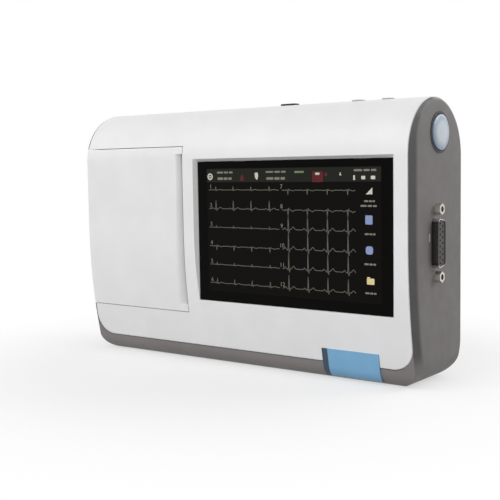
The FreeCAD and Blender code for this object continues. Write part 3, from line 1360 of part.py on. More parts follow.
def make_head():
    """Thermal head on its bracket, pressed towards the platen by a bowed leaf spring."""
    left, right = platen_x - s.head_w / 2, platen_x + s.head_w / 2
    low, high = tray_in_low + s.rest_gap, tray_in_high - s.rest_gap
    node(box("head", (left, head_y, low), (right, head_bracket_y, high)), "thermal_head")
    bracket_body = box("head_back", (left, head_bracket_y, low), (right, spring_y, high))
    ribs = [box("head_fin", (left + s.head_w * share, spring_y - s.head_t, low + s.head_w),
                (left + s.head_w * (share + 0.12), spring_y, high - s.head_w))
            for share in (0.2, 0.44, 0.68)]
    node(cut("head_bracket", bracket_body, *ribs), "head_bracket")
    middle = float((low + high) / 2)
    reach = float(s.head_w) * 2.2
    near, far = float(spring_y + s.rest_gap), float(rib_y - s.rest_gap)
    thick = float(s.spring_t)
    x = float(platen_x - s.head_w / 4)
    outline = Part.Wire([
        arc(Vector(x, near, middle - reach), Vector(x, far - thick, middle),
            Vector(x, near, middle + reach)),
        Part.makeLine(Vector(x, near, middle + reach), Vector(x, near + thick, middle + reach)),
        arc(Vector(x, near + thick, middle + reach), Vector(x, far, middle),
            Vector(x, near + thick, middle - reach)),
        Part.makeLine(Vector(x, near + thick, middle - reach), Vector(x, near, middle - reach)),
    ])
    leaf = Part.Face(outline).extrude(Vector(float(s.head_w) / 2, 0, 0))
    node(feature("leaf", leaf), "head_spring")


def make_tear_bar():
    """Serrated strip beside the paper slot, on the left end panel."""
    edge = float(s.platen_y + s.platen_r + s.slot_w / 2 + s.rest_gap)
    low = float(paper_low_z - s.wall)
    span = float(s.paper_w + 2 * s.wall)
    count = int(span / float(s.tooth_pitch))
    step = span / count
    depth = step / 2
    width = float(s.slot_w)
    x = -float(half_w)
    points = [Vector(x, edge + depth + width, low)]
    for tooth in range(count):
        points.append(Vector(x, edge + depth, low + tooth * step))
        points.append(Vector(x, edge, low + (tooth + 0.5) * step))
    points.append(Vector(x, edge + depth, low + span))
    points.append(Vector(x, edge + depth + width, low + span))
    strip = Part.Face(Part.makePolygon(points + points[:1]))
    node(feature("tear_strip", strip.extrude(Vector(-float(s.tear_t), 0, 0))), "tear_bar")


def check_and_write():
    """Refuse a failed object, then write every sub-part to its own file."""
    failed = [o.Name for o in doc.Objects if {"Invalid", "Error"} & set(o.State)]
    failed += [t.Label for t in nodes if t.Shape.isNull() or not t.Shape.isValid()]
    if failed:
        raise RuntimeError(f"these objects failed: {failed}")
    os.makedirs("parts", exist_ok=True)
    for thing in nodes:
        thing.Shape.exportStep(f"parts/{thing.Label}.step")


def main():
    """Build every sub-assembly, recompute and export."""
    make_case()
    make_tab()
    make_display()
    make_power_button()
    make_lead_socket()
    make_ports()
    make_printer()
    doc.recompute()
    check_and_write()
    for thing in nodes:
        print(f"{thing.Label}: {len(thing.Shape.Solids)} solid(s), {thing.Shape.Volume:.1f} mm3")


main()
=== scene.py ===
"""Looks of a portable ECG recorder: its finishes, the picture on its screen and the studio.

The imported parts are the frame. Lengths here are metres, +X is right, +Y is back and +Z is up.
"""

import json
import logging
import math
from dataclasses import dataclass, field
from enum import Enum

import bpy
import numpy as np
from mathutils import Matrix, Vector


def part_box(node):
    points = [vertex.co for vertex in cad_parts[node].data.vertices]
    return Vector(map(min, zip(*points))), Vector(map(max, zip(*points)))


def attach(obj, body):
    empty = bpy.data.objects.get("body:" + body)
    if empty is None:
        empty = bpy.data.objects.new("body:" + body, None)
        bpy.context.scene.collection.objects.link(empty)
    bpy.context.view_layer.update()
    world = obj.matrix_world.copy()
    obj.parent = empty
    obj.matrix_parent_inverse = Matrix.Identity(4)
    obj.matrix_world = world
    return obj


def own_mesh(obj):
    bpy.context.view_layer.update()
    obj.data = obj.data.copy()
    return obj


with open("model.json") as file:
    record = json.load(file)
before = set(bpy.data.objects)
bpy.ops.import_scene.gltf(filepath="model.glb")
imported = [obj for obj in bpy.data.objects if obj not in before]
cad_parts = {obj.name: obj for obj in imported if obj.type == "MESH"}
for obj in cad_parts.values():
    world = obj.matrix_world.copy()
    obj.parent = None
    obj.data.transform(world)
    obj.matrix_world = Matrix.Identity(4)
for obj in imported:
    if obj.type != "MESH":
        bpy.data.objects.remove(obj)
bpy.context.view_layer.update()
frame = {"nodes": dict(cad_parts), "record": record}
MM = 0.001
LOG = logging.getLogger("recorder")

Colour = tuple[float, float, float]
Place = tuple[float, float, float]


def linear(colour: Colour) -> tuple[float, float, float, float]:
    """Turn a screen colour of 0 to 255 into the light that it stands for, by the sRGB curve.

    Args:
        colour: Red, green and blue as they look on a screen.

    Returns:
        Red, green, blue and an alpha of 1, in linear light.
    """
    share = np.array(colour) / 255
    light = np.where(share <= 0.04045, share / 12.92, ((share + 0.055) / 1.055) ** 2.4)
    return (*(float(c) for c in light), 1.0)


class NodeSheet:
    """The shader nodes of one material, added and wired by name."""

    FIRST_COLOUR, SECOND_COLOUR, MIXED_COLOUR = 6, 7, 2

    def __init__(self, material: bpy.types.Material) -> None:
        """Empty a material's node tree and give it an output and a surface shader.

        Args:
            material: The material to fill.
        """
        material.use_nodes = True
        self.tree = material.node_tree
        self.tree.nodes.clear()
        self.output = self.new("ShaderNodeOutputMaterial")
        self.shader = self.new("ShaderNodeBsdfPrincipled")
        self.wire(self.shader.outputs[0], self.output.inputs["Surface"])
        self.where = self.new("ShaderNodeTexCoord").outputs["Object"]

    def new(self, kind: str) -> bpy.types.Node:
        """Add a node of a kind, by Blender's name for it."""
        return self.tree.nodes.new(kind)

    def wire(self, start: bpy.types.NodeSocket, end: bpy.types.NodeSocket) -> None:
        """Join two sockets."""
        self.tree.links.new(start, end)

    def feed(self, socket: bpy.types.NodeSocket, value: object) -> None:
        """Give a socket a value, or join it to the socket that is given.

        Args:
            socket: The input to set.
            value: A number, a tuple or another node's output.
        """
        if isinstance(value, bpy.types.NodeSocket):
            self.wire(value, socket)
        else:
            socket.default_value = value

    def math(self, work: str, first: object, second: object = 0.0) -> bpy.types.NodeSocket:
        """One sum of two numbers.

        Args:
            work: Blender's name of the operation.
            first: The first number or socket.
            second: The second number or socket.

        Returns:
            The result's socket.
        """
        node = self.new("ShaderNodeMath")
        node.operation = work
        self.feed(node.inputs[0], first)
        self.feed(node.inputs[1], second)
        return node.outputs[0]

    def step(self, value: bpy.types.NodeSocket, low: float, high: float,
             start: float = 0.0, end: float = 1.0) -> bpy.types.NodeSocket:
        """A smooth step between two values.

        Args:
            value: What is read.
            low: Where the step begins.
            high: Where it ends.
            start: The result before the step.
            end: The result after it.

        Returns:
            The result's socket.
        """
        node = self.new("ShaderNodeMapRange")
        node.interpolation_type = "SMOOTHSTEP"
        for place, number in enumerate((value, low, high, start, end)):
            self.feed(node.inputs[place], number)
        return node.outputs[0]

    def noise(self, size: float, detail: float,
              stretch: Place = (1.0, 1.0, 1.0)) -> bpy.types.NodeSocket:
        """Cloudy noise on the piece's own coordinates.

        Args:
            size: Width of one cloud in metres.
            detail: How many finer layers it has.
            stretch: How much finer it is along each axis.

        Returns:
            The noise's socket, about 0.5 on average.
        """
        turn = self.new("ShaderNodeMapping")
        turn.inputs["Scale"].default_value = stretch
        self.wire(self.where, turn.inputs["Vector"])
        node = self.new("ShaderNodeTexNoise")
        node.inputs["Scale"].default_value = 1 / size
        node.inputs["Detail"].default_value = detail
        self.wire(turn.outputs[0], node.inputs["Vector"])
        return node.outputs[0]

    def place(self) -> bpy.types.bpy_prop_collection:
        """X, Y and Z of the piece's own coordinates.

        Returns:
            The three sockets, by name.
        """
        node = self.new("ShaderNodeSeparateXYZ")
        self.wire(self.where, node.inputs[0])
        return node.outputs

    def distance(self, axes: str, centre: tuple[float, float] = (0.0, 0.0)) -> bpy.types.NodeSocket:
        """Distance from a line along one axis: the root of the other two axes' squares.

        Args:
            axes: The two letters of the axes across the line.
            centre: Where the line stands on those axes.

        Returns:
            The distance's socket.
        """
        where = self.place()
        squares = [self.math("POWER", self.math("SUBTRACT", where[axis], middle), 2.0)
                   for axis, middle in zip(axes, centre)]
        return self.math("SQRT", self.math("ADD", *squares))

    def between(self, share: object, first: object, second: object) -> bpy.types.NodeSocket:
        """A colour between two others.

        Args:
            share: 0 for the first colour and 1 for the second.
            first: A colour or a colour's socket.
            second: A colour or a colour's socket.

        Returns:
            The colour's socket.
        """
        node = self.new("ShaderNodeMix")
        node.data_type = "RGBA"
        self.feed(node.inputs[0], share)
        self.feed(node.inputs[self.FIRST_COLOUR], first)
        self.feed(node.inputs[self.SECOND_COLOUR], second)
        return node.outputs[self.MIXED_COLOUR]


class Grain(Enum):
    """How a surface breaks up close to the eye, as finer scale along X, Y and Z."""

    MOULDED = (1.0, 1.0, 1.0)
    DRAWN_X = (0.05, 1.0, 1.0)
    DRAWN_Z = (1.0, 1.0, 0.05)


@dataclass(frozen=True)
class Finish:
    """One surface finish: its colour, gloss, grain and the clouding that use leaves."""

    name: str
    colour: Colour
    roughness: float = 0.45
    metallic: float = 0.0
    coat: float = 0.0
    coat_roughness: float = 0.12
    ior: float = 1.46
    grain: Grain = Grain.MOULDED
    grain_size: float = 0.5 * MM
    grain_depth: float = 0.012 * MM
    grain_strength: float = 0.35
    cloud_size: float = 18 * MM
    cloud: float = 0.03
    rub_size: float = 6.3 * MM
    rub: float = 0.12
    glow: float = 0.0

    def shades(self, share: float) -> tuple[float, float, float, float]:
        """The finish's colour, lightened or darkened by a share."""
        return linear(tuple(min(255.0, c * share) for c in self.colour))

    def tint(self, sheet: NodeSheet) -> bpy.types.NodeSocket:
        """Colour that wanders a little between two shades, by large clouds.

        Args:
            sheet: The nodes to add to.

        Returns:
            The colour's socket.
        """
        clouds = sheet.step(sheet.noise(self.cloud_size, 4.0), 0.3, 0.7)
        return sheet.between(clouds, self.shades(1 - self.cloud), self.shades(1 + self.cloud))

    def material(self) -> bpy.types.Material:
        """Make the material once, and give the same one after that.

        Returns:
            The finished material.
        """
        name = f"{self.name}_finish"
        found = bpy.data.materials.get(name)
        if found:
            return found
        material = bpy.data.materials.new(name)
        sheet = NodeSheet(material)
        shader = sheet.shader.inputs
        colour = self.tint(sheet)
        sheet.wire(colour, shader["Base Color"])
        rough = sheet.step(sheet.noise(self.rub_size, 5.0), 0.25, 0.75,
                           self.roughness * (1 - self.rub), min(1.0, self.roughness * (1 + self.rub)))
        sheet.wire(rough, shader["Roughness"])
        bump = sheet.new("ShaderNodeBump")
        bump.inputs["Strength"].default_value = self.grain_strength
        bump.inputs["Distance"].default_value = self.grain_depth
        sheet.wire(sheet.noise(self.grain_size, 3.0, self.grain.value), bump.inputs["Height"])
        sheet.wire(bump.outputs[0], shader["Normal"])
        shader["Metallic"].default_value = self.metallic
        shader["IOR"].default_value = self.ior
        shader["Coat Weight"].default_value = self.coat
        shader["Coat Roughness"].default_value = self.coat_roughness
        if self.glow:
            sheet.wire(colour, shader["Emission Color"])
            shader["Emission Strength"].default_value = self.glow
        return material


@dataclass(frozen=True)
class HousingFinish(Finish):
    """Grey moulded plastic; its slanted front rims carry painted shade, darker than the end panels."""

    rim_start: float = 107.3 * MM
    rim_soft: float = 0.08 * MM
    rim_fade: float = 108.1 * MM
    rim_end: float = 108.49 * MM
    rim_front: float = -6 * MM
    rim_back: float = -1 * MM
    rim_low: float = 9 * MM
    rim_full: float = 18 * MM
    painted_rim_shade: float = 0.52

    def tint(self, sheet: NodeSheet) -> bpy.types.NodeSocket:
        """Clouded grey, with painted shade where an end panel slants towards the front.

        Args:
            sheet: The nodes to add to.

        Returns:
            The colour's socket.
        """
        base = super().tint(sheet)
        where = sheet.place()
        outward = sheet.math("ABSOLUTE", where["X"])
        beyond = sheet.step(outward, self.rim_start, self.rim_start + self.rim_soft)
        within = sheet.step(outward, self.rim_fade, self.rim_end, 1.0, 0.0)
        ahead = sheet.step(where["Y"], self.rim_front, self.rim_back, 1.0, 0.0)
        above = sheet.step(where["Z"], self.rim_low, self.rim_full)
        # painted shade: the slanted front rim is darkened to stand in for the shade it catches
        rim = sheet.math("MULTIPLY", sheet.math("MULTIPLY", beyond, within),
                         sheet.math("MULTIPLY", ahead, above))
        return sheet.between(rim, base, self.shades(self.painted_rim_shade))


@dataclass(frozen=True)
class TabFinish(Finish):
    """Pale blue plate with a dark strip on its left."""

    edge: float = 58.9 * MM
    soft: float = 0.15 * MM
    dark: Colour = (52.0, 70.0, 88.0)

    def tint(self, sheet: NodeSheet) -> bpy.types.NodeSocket:
        """Pale blue, dark left of the strip's edge.

        Args:
            sheet: The nodes to add to.

        Returns:
            The colour's socket.
        """
        base = super().tint(sheet)
        strip = sheet.step(sheet.place()["X"], self.edge - self.soft, self.edge + self.soft, 1.0, 0.0)
        return sheet.between(strip, base, linear(self.dark))


@dataclass(frozen=True)
class PaperFinish(Finish):
    """Wound recorder paper: fine rings on the roll's ends."""

    axis: tuple[float, float] = (-70.5 * MM, 3.6 * MM)
    ring: float = 0.55 * MM
    ring_share: float = 0.3
    ring_shade: float = 0.86

    def tint(self, sheet: NodeSheet) -> bpy.types.NodeSocket:
        """Off-white with rings: the sine of the distance from the roll's axis.

        Args:
            sheet: The nodes to add to.

        Returns:
            The colour's socket.
        """
        base = super().tint(sheet)
        radius = sheet.distance("XY", self.axis)
        wave = sheet.math("SINE", sheet.math("MULTIPLY", radius, 2 * math.pi / self.ring))
        rings = sheet.step(wave, -1.0, 1.0, 0.0, self.ring_share)
        return sheet.between(rings, base, self.shades(self.ring_shade))


@dataclass(frozen=True)
class CapFinish(Finish):
    """Pale button cap, a little bluer and darker towards its rim."""

    axis: tuple[float, float] = (2.5 * MM, 124.5 * MM)
    inner: float = 3.915 * MM
    outer: float = 8.7 * MM
    rim: Colour = (160.0, 178.0, 200.0)

    def tint(self, sheet: NodeSheet) -> bpy.types.NodeSocket:
        """A blend from the cap's middle to its rim, by distance from its axis.

        Args:
            sheet: The nodes to add to.

        Returns:
            The colour's socket.
        """
        base = super().tint(sheet)
        share = sheet.step(sheet.distance("YZ", self.axis), self.inner, self.outer)
        return sheet.between(share, base, linear(self.rim))


@dataclass(frozen=True)
class SocketFinish(Finish):
    """Plated socket shell, darkened as painted shade along its sides and lightened by a painted
    highlight at its two ends.
    """

    centre_z: float = 70.5 * MM
    highlight_from: float = 10.2 * MM
    highlight_full: float = 11.6 * MM
    bright: Colour = (214.0, 211.0, 206.0)

    def tint(self, sheet: NodeSheet) -> bpy.types.NodeSocket:
        """Dark plating as painted shade, with a painted highlight that grows with the distance up or
        down from the socket's middle.

        Args:
            sheet: The nodes to add to.

        Returns:
            The colour's socket.
        """
        base = super().tint(sheet)
        away = sheet.math("ABSOLUTE", sheet.math("SUBTRACT", sheet.place()["Z"], self.centre_z))
        # painted highlight: the shell's two ends are lightened to stand in for reflections
        share = sheet.step(away, self.highlight_from, self.highlight_full)
        return sheet.between(share, base, linear(self.bright))


@dataclass(frozen=True)
class BoardFinish(Finish):
    """Circuit board: solder mask with faint straight copper lines under it."""

    pitch: float = 1.3 * MM
    line_from: float = 0.7
    line_full: float = 0.95
    line_share: float = 0.6
    line_shade: float = 1.35

    def tint(self, sheet: NodeSheet) -> bpy.types.NodeSocket:
        """Green with narrow lighter lines where the sine of X passes its top.

        Args:
            sheet: The nodes to add to.

        Returns:
            The colour's socket.
        """
        base = super().tint(sheet)
        turn = sheet.math("MULTIPLY", sheet.place()["X"], 2 * math.pi / self.pitch)
        wave = sheet.math("SINE", turn)
        lines = sheet.step(wave, self.line_from, self.line_full, 0.0, self.line_share)
        return sheet.between(lines, base, self.shades(self.line_shade))


SLOT_FINISHES: dict[str, Finish] = {
    "white_shell": Finish("white_shell", (229, 229, 230), roughness=0.42, coat=0.08, cloud=0.008,
                          grain_depth=0.006 * MM),
    "grey_housing": HousingFinish("grey_housing", (120, 116, 115), roughness=0.5, cloud=0.025),
    "blue_tab": TabFinish("blue_tab", (121, 170, 207), roughness=0.4, cloud=0.02),
    "screen_glass": Finish("screen_glass", (5, 4, 3), roughness=0.09, ior=1.13, cloud=0.05,
                           grain_depth=0.001 * MM),
    "button_cap": CapFinish("button_cap", (222, 231, 239), roughness=0.3, coat=0.2, cloud=0.012),
    "dark_plastic": Finish("dark_plastic", (52, 50, 50), roughness=0.5, cloud=0.06),
    "black_rubber": Finish("black_rubber", (30, 29, 29), roughness=0.75, cloud=0.1,
                           grain_depth=0.03 * MM),
    "board_green": BoardFinish("board_green", (24, 92, 58), roughness=0.35, coat=0.3, cloud=0.06),
    "steel": Finish("steel", (176, 176, 178), roughness=0.32, metallic=1.0, grain=Grain.DRAWN_Z,
                    grain_size=0.25 * MM, cloud=0.04),
    "nickel": Finish("nickel", (206, 203, 196), roughness=0.22, metallic=1.0, grain_size=0.3 * MM,
                     grain_depth=0.006 * MM, cloud=0.03),
    "contact_gold": Finish("contact_gold", (214, 176, 96), roughness=0.25, metallic=1.0,
                           grain_size=0.2 * MM, cloud=0.03),
    "aluminium": Finish("aluminium", (190, 192, 195), roughness=0.38, metallic=1.0,
                        grain=Grain.DRAWN_X, grain_size=0.3 * MM, cloud=0.03),
    "natural_plastic": Finish("natural_plastic", (222, 216, 200), roughness=0.45, cloud=0.03),
    "paper": PaperFinish("paper", (240, 236, 226), roughness=0.85, cloud=0.015,
                         grain_depth=0.01 * MM),
    "battery_wrap": Finish("battery_wrap", (58, 84, 122), roughness=0.35, coat=0.2, cloud=0.04),
}
JACK = Finish("jack_plastic", (168, 166, 165), roughness=0.45, cloud=0.03)
PART_FINISHES: dict[str, Finish] = {
    # the socket shell's dark colour is painted shade, and its ends get a painted highlight
    "lead_socket_shell": SocketFinish("socket_shell", (62, 59, 58), roughness=0.34, metallic=1.0,
                                      cloud=0.04),
    "lead_socket_insulator": Finish("socket_block", (72, 69, 67), roughness=0.55, cloud=0.05),
    "dc_inlet": JACK,
    "sync_jack": JACK,
}


class Ink(Enum):
    """Finishes of the lit picture and of the printed mark."""

    FIELD = Finish("screen_field", (8, 7, 5), roughness=0.12, ior=1.14, glow=0.3)
    BAR = Finish("screen_bar", (30, 30, 26), roughness=0.12, ior=1.16, glow=0.3)
    TRACE = Finish("screen_trace", (78, 80, 71), roughness=0.3, ior=1.2, glow=0.5)
    PALE = Finish("screen_pale", (168, 166, 156), roughness=0.3, ior=1.2, glow=0.5)
    WORD = Finish("screen_word", (104, 102, 93), roughness=0.3, ior=1.2, glow=0.5)
    RED = Finish("screen_red", (78, 28, 32), roughness=0.3, ior=1.2, glow=0.4)
    BLUE = Finish("screen_blue", (112, 124, 158), roughness=0.3, ior=1.2, glow=0.5)
    YELLOW = Finish("screen_yellow", (184, 170, 126), roughness=0.3, ior=1.2, glow=0.5)
    GREEN = Finish("screen_green", (92, 108, 82), roughness=0.3, ior=1.2, glow=0.5)
    MARK = Finish("mark_ink", (206, 205, 203), roughness=0.5)


def circle(u: float, v: float, radius: float, sides: int) -> np.ndarray:
    """Points at even angles about a middle.

    Args:
        u: The middle, across.
        v: The middle, up.
        radius: Distance of the points from it.
        sides: How many points there are.

    Returns:
        The points as rows of u and v, anticlockwise.
    """
    turn = np.linspace(0, 2 * np.pi, sides, endpoint=False)
    return np.stack([u + radius * np.cos(turn), v + radius * np.sin(turn)], axis=1)


@dataclass(frozen=True)
class Plane:
    """A flat place on the recorder, by a corner and its directions across and up."""

    origin: Place
    across: Place
    up: Place

    def lift(self, flat: np.ndarray, height: float | np.ndarray) -> np.ndarray:
        """Points on the plane, moved out from it.

        The place is origin + u * across + v * up + height * (across x up).

        Args:
            flat: Points as rows of u and v.
            height: How far they stand off the plane, for all or as a column.

        Returns:
            The points as rows of X, Y and Z.
        """
        across, up = np.array(self.across), np.array(self.up)
        out = np.cross(across, up)
        return np.array(self.origin) + flat[:, :1] * across + flat[:, 1:] * up + height * out


@dataclass
class Shell:
    """Surfaces gathered into one mesh: points, corner numbers of faces, and corners per face."""

    points: list[np.ndarray] = field(default_factory=list)
    corners: list[np.ndarray] = field(default_factory=list)
    sizes: list[np.ndarray] = field(default_factory=list)
    count: int = 0

    def add(self, points: np.ndarray, corners: np.ndarray, sizes: np.ndarray) -> None:
        """Add one surface.

        Args:
            points: Its points, as rows of X, Y and Z.
            corners: The corners of its faces in turn, numbered from its own first point.
            sizes: How many corners each face has.
        """
        self.points.append(points)
        self.corners.append(corners + self.count)
        self.sizes.append(sizes)
        self.count += len(points)

    def prism(self, plane: Plane, outline: np.ndarray, low: float, high: float) -> None:
        """A flat plate: an outline at two heights, joined by side faces.

        Args:
            plane: Where the outline lies.
            outline: Its corners as u and v, anticlockwise from outside.
            low: Height of its back.
            high: Height of its front.
        """
        n = len(outline)
        near = np.arange(n)
        after = np.roll(near, -1)
        sides = np.stack([near, after, after + n, near + n], axis=1)
        points = np.concatenate([plane.lift(outline, low), plane.lift(outline, high)])
        self.add(points, np.concatenate([sides.ravel(), near[::-1], near + n]),
                 np.concatenate([np.full(n, 4), [n, n]]))

    def block(self, plane: Plane, u: float, v: float, width: float, height: float,
              low: float, high: float, corner: float = 0.0) -> None:
        """A rectangle about a middle point, with rounded corners if asked.

        Each corner is a quarter circle of 5 points about its own centre.

        Args:
            plane: Where it lies.
            u: Its middle, across.
            v: Its middle, up.
            width: Its size across.
            height: Its size up.
            low: Height of its back.
            high: Height of its front.
            corner: Radius of its corners.
        """
        least, share = 0.01 * MM, 2.02
        radius = min(max(corner, least), width / share, height / share)
        turn = np.radians(np.linspace(0, 90, 5)[None, :] + np.arange(4)[:, None] * 90)
        right = u + np.array([1, -1, -1, 1])[:, None] * (width / 2 - radius)
        top = v + np.array([1, 1, -1, -1])[:, None] * (height / 2 - radius)
        outline = np.stack([right + radius * np.cos(turn), top + radius * np.sin(turn)], axis=2)
        self.prism(plane, outline.reshape(-1, 2), low, high)

    def line(self, plane: Plane, path: np.ndarray, width: float, low: float, high: float,
             closed: bool = False) -> None:
        """A drawn line: a rectangular section carried along a path.

        The section's sides lie half the width along the path's normal, which is its direction
        turned a quarter.

        Args:
            plane: Where it lies.
            path: Points as u and v.
            width: The line's width.
            low: Height of its back.
            high: Height of its front.
            closed: Whether the path's end joins its start.
        """
        if closed:
            along = np.roll(path, -1, axis=0) - np.roll(path, 1, axis=0)
        else:
            along = np.gradient(path, axis=0)
        along = along / np.linalg.norm(along, axis=1, keepdims=True)
        side = np.stack([-along[:, 1], along[:, 0]], axis=1) * width / 2
        ring = [(path + side, low), (path - side, low), (path - side, high), (path + side, high)]
        points = np.stack([plane.lift(flat, height) for flat, height in ring], axis=1)
        n = len(path)
        start = np.arange(n if closed else n - 1)[:, None] * 4
        after = (start + 4) % (4 * n)
        corner = np.arange(4)[None, :]
        beside = (corner + 1) % 4
        quads = np.stack([start + corner, start + beside, after + beside, after + corner], axis=2)
        ends = np.array([] if closed else [3, 2, 1, 0, *range(4 * n - 4, 4 * n)], dtype=int)
        corners = np.concatenate([quads.ravel(), ends])
        self.add(points.reshape(-1, 3), corners, np.full(len(corners) // 4, 4))

    def number(self, plane: Plane, value: int, u: float, v: float, tall: float,
               low: float, high: float) -> None:
        """A printed number as a thin closed solid.

        The outline of the figures is made a mesh first. Its points then go to the plane, the
        front ones at one height and the back ones at the other.

        Args:
            plane: Where it lies.
            value: The number.
            u: Its middle, across.
            v: Its middle, up.
            tall: Height of its figures.
            low: Height of its back.
            high: Height of its front.
        """
        figure_share = 0.72
        curve = bpy.data.curves.new("figures", "FONT")
        curve.body = str(value)
        curve.size = tall / figure_share
        curve.align_x = "CENTER"
        curve.align_y = "CENTER"
        curve.extrude = 1.0
        curve.resolution_u = 3
        holder = bpy.data.objects.new("figures", curve)
        bpy.context.scene.collection.objects.link(holder)
        bpy.context.view_layer.update()
        ready = holder.evaluated_get(bpy.context.evaluated_depsgraph_get())
        made = bpy.data.meshes.new_from_object(ready)
        flat = np.empty(len(made.vertices) * 3)
        corners = np.empty(len(made.loops), dtype=int)
        sizes = np.empty(len(made.polygons), dtype=int)
        made.vertices.foreach_get("co", flat)
        made.loops.foreach_get("vertex_index", corners)
        made.polygons.foreach_get("loop_total", sizes)
        flat = flat.reshape(-1, 3)
        height = np.where(flat[:, 2:] > 0, high, low)
        self.add(plane.lift(flat[:, :2] + np.array([u, v]), height), corners, sizes)
        bpy.data.objects.remove(holder)
        bpy.data.curves.remove(curve)
        bpy.data.meshes.remove(made)

    def mesh(self, name: str, material: bpy.types.Material) -> bpy.types.Object:
        """Make one object of all that was added.

        Args:
            name: The object's name.
            material: What covers it.

        Returns:
            The new object, at the origin.
        """
        mesh = bpy.data.meshes.new(name)
        ends = np.cumsum(np.concatenate(self.sizes))
        faces = np.split(np.concatenate(self.corners), ends[:-1])
        mesh.from_pydata(np.concatenate(self.points), [], faces)
        mesh.validate()
        mesh.materials.append(material)
        thing = bpy.data.objects.new(name, mesh)
        bpy.context.scene.collection.objects.link(thing)
        return thing

    def piece(self, name: str, ink: Ink, body: str) -> None:
        """Make the mesh, dress it and let it ride on a body.

        Args:
            name: The piece's name.
            ink: Its finish.
            body: The body it moves with.
        """
        thing = self.mesh(name, ink.value.material())
        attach(thing, body)
        LOG.info("piece %s: %d faces on %s", name, len(thing.data.polygons), body)


@dataclass
class Dressing:
    """Smooth shading and finishes for the parts of the frame."""

    sharp_angle: float = math.radians(28)
    weld: float = 0.002 * MM

    def shading_group(self) -> bpy.types.GeometryNodeTree:
        """Nodes that shade faces smooth and keep edges over the sharp angle crisp.

        Returns:
            The node group.
        """
        group = bpy.data.node_groups.new("crisp_edges", "GeometryNodeTree")
        group.interface.new_socket("Geometry", in_out="INPUT", socket_type="NodeSocketGeometry")
        group.interface.new_socket("Geometry", in_out="OUTPUT", socket_type="NodeSocketGeometry")
        make, link = group.nodes.new, group.links.new
        start, end = make("NodeGroupInput"), make("NodeGroupOutput")
        drop = make("GeometryNodeRemoveAttribute")
        drop.inputs["Name"].default_value = "custom_normal"
        faces, edges = make("GeometryNodeSetShadeSmooth"), make("GeometryNodeSetShadeSmooth")
        edges.domain = "EDGE"
        edges.inputs["Shade Smooth"].default_value = False
        angle, over = make("GeometryNodeInputMeshEdgeAngle"), make("FunctionNodeCompare")
        over.operation = "GREATER_THAN"
        over.inputs[1].default_value = self.sharp_angle
        link(start.outputs[0], drop.inputs["Geometry"])
        link(drop.outputs["Geometry"], faces.inputs["Geometry"])
        link(faces.outputs[0], edges.inputs["Geometry"])
        link(angle.outputs["Unsigned Angle"], over.inputs[0])
        link(over.outputs[0], edges.inputs["Selection"])
        link(edges.outputs[0], end.inputs[0])
        return group

    def dress(self, nodes: dict[str, bpy.types.Object], slots: dict[str, str]) -> None:
        """Weld, smooth and paint every part of the frame.

        Args:
            nodes: The parts by name.
            slots: Each part's material slot.
        """
        group = self.shading_group()
        for name, thing in nodes.items():
            weld = thing.modifiers.new("weld", "WELD")
            weld.merge_threshold = self.weld
            crisp = thing.modifiers.new("crisp", "NODES")
            crisp.node_group = group
            even = thing.modifiers.new("even", "WEIGHTED_NORMAL")
            even.mode = "FACE_AREA_WITH_ANGLE"
            even.keep_sharp = True
            thing.data.materials.clear()
            finish = PART_FINISHES.get(name, SLOT_FINISHES[slots[name]])
            thing.data.materials.append(finish.material())
            LOG.info("part %s: %s", name, slots[name])


@dataclass
class HeadSpring:
    """The leaf spring behind the print head, given a mesh of its own."""

    node: str = "head_spring"
    joint: str = "head_lift"

    def build(self) -> None:
        """Read the spring's box and give the spring a mesh of its own."""
        low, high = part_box(self.node)
        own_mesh(frame["nodes"][self.node])


@dataclass(frozen=True)
class TraceColumn:
    """One column of traces: its ends, the place of its numbers and its spikes, in millimetres."""

    start: float
    end: float
    numbers_at: float
    spikes: tuple[float, ...]


@dataclass(frozen=True)
class Tile:
    """A rounded block of the picture: its middle, right and down, and its size, in millimetres."""

    ink: Ink
    right: float
    down: float
    wide: float
    tall: float
    corner: float = 0.3
    layer: int = 2


@dataclass(frozen=True)
class Sign:
    """A pointed shape of the picture: its corners, right and down, in millimetres."""

    ink: Ink
    outline: tuple[tuple[float, float], ...]


COLUMNS = (
    TraceColumn(1.2, 48.0, 2.6, (1.9, 4.6, 1.1, -2.4, 1.3, 2.6)),
    TraceColumn(49.8, 93.8, 49.6, (-2.4, -4.6, 8.4, 9.2, 8.6, 7.0)),
)
# Lines of words as start, end, middle below the top, and height, in millimetres.
WORD_LINES = (
    (7.2, 17.9, 1.8, 1.0), (7.6, 17.2, 5.1, 1.3), (39.8, 52.5, 1.8, 0.9), (40.2, 52.0, 5.2, 1.3),
    (92.9, 105.4, 1.5, 1.0), (98.6, 104.6, 16.5, 0.9), (96.6, 105.6, 18.8, 0.9),
    (98.8, 104.8, 32.5, 0.9), (98.6, 105.0, 47.2, 0.9), (99.0, 105.2, 61.4, 0.9),
)
# Starts and ends of the words of a line, as shares of its length.
WORD_SPANS = np.array([(0.0, 0.38), (0.44, 0.71), (0.77, 1.0)])
TILES = (
    Tile(Ink.PALE, 2.3, 4.0, 1.3, 0.7, corner=0.2),
    Tile(Ink.PALE, 93.1, 5.1, 1.0, 2.4),
    Tile(Ink.PALE, 98.2, 5.1, 2.2, 1.7),
    Tile(Ink.PALE, 103.6, 5.1, 2.4, 1.7),
    Tile(Ink.PALE, 71.8, 3.0, 2.6, 1.1, corner=0.4, layer=3),
    Tile(Ink.RED, 71.9, 4.5, 6.4, 5.4, corner=0.5),
    Tile(Ink.BLUE, 101.2, 25.6, 4.0, 4.4, corner=0.5),
    Tile(Ink.BLUE, 101.4, 40.4, 4.0, 4.0, corner=1.2),
    Tile(Ink.YELLOW, 102.0, 55.6, 4.2, 3.0, corner=0.4),
    Tile(Ink.YELLOW, 100.9, 53.9, 1.8, 0.9),
    Tile(Ink.GREEN, 60.8, 2.0, 5.8, 1.0),
)
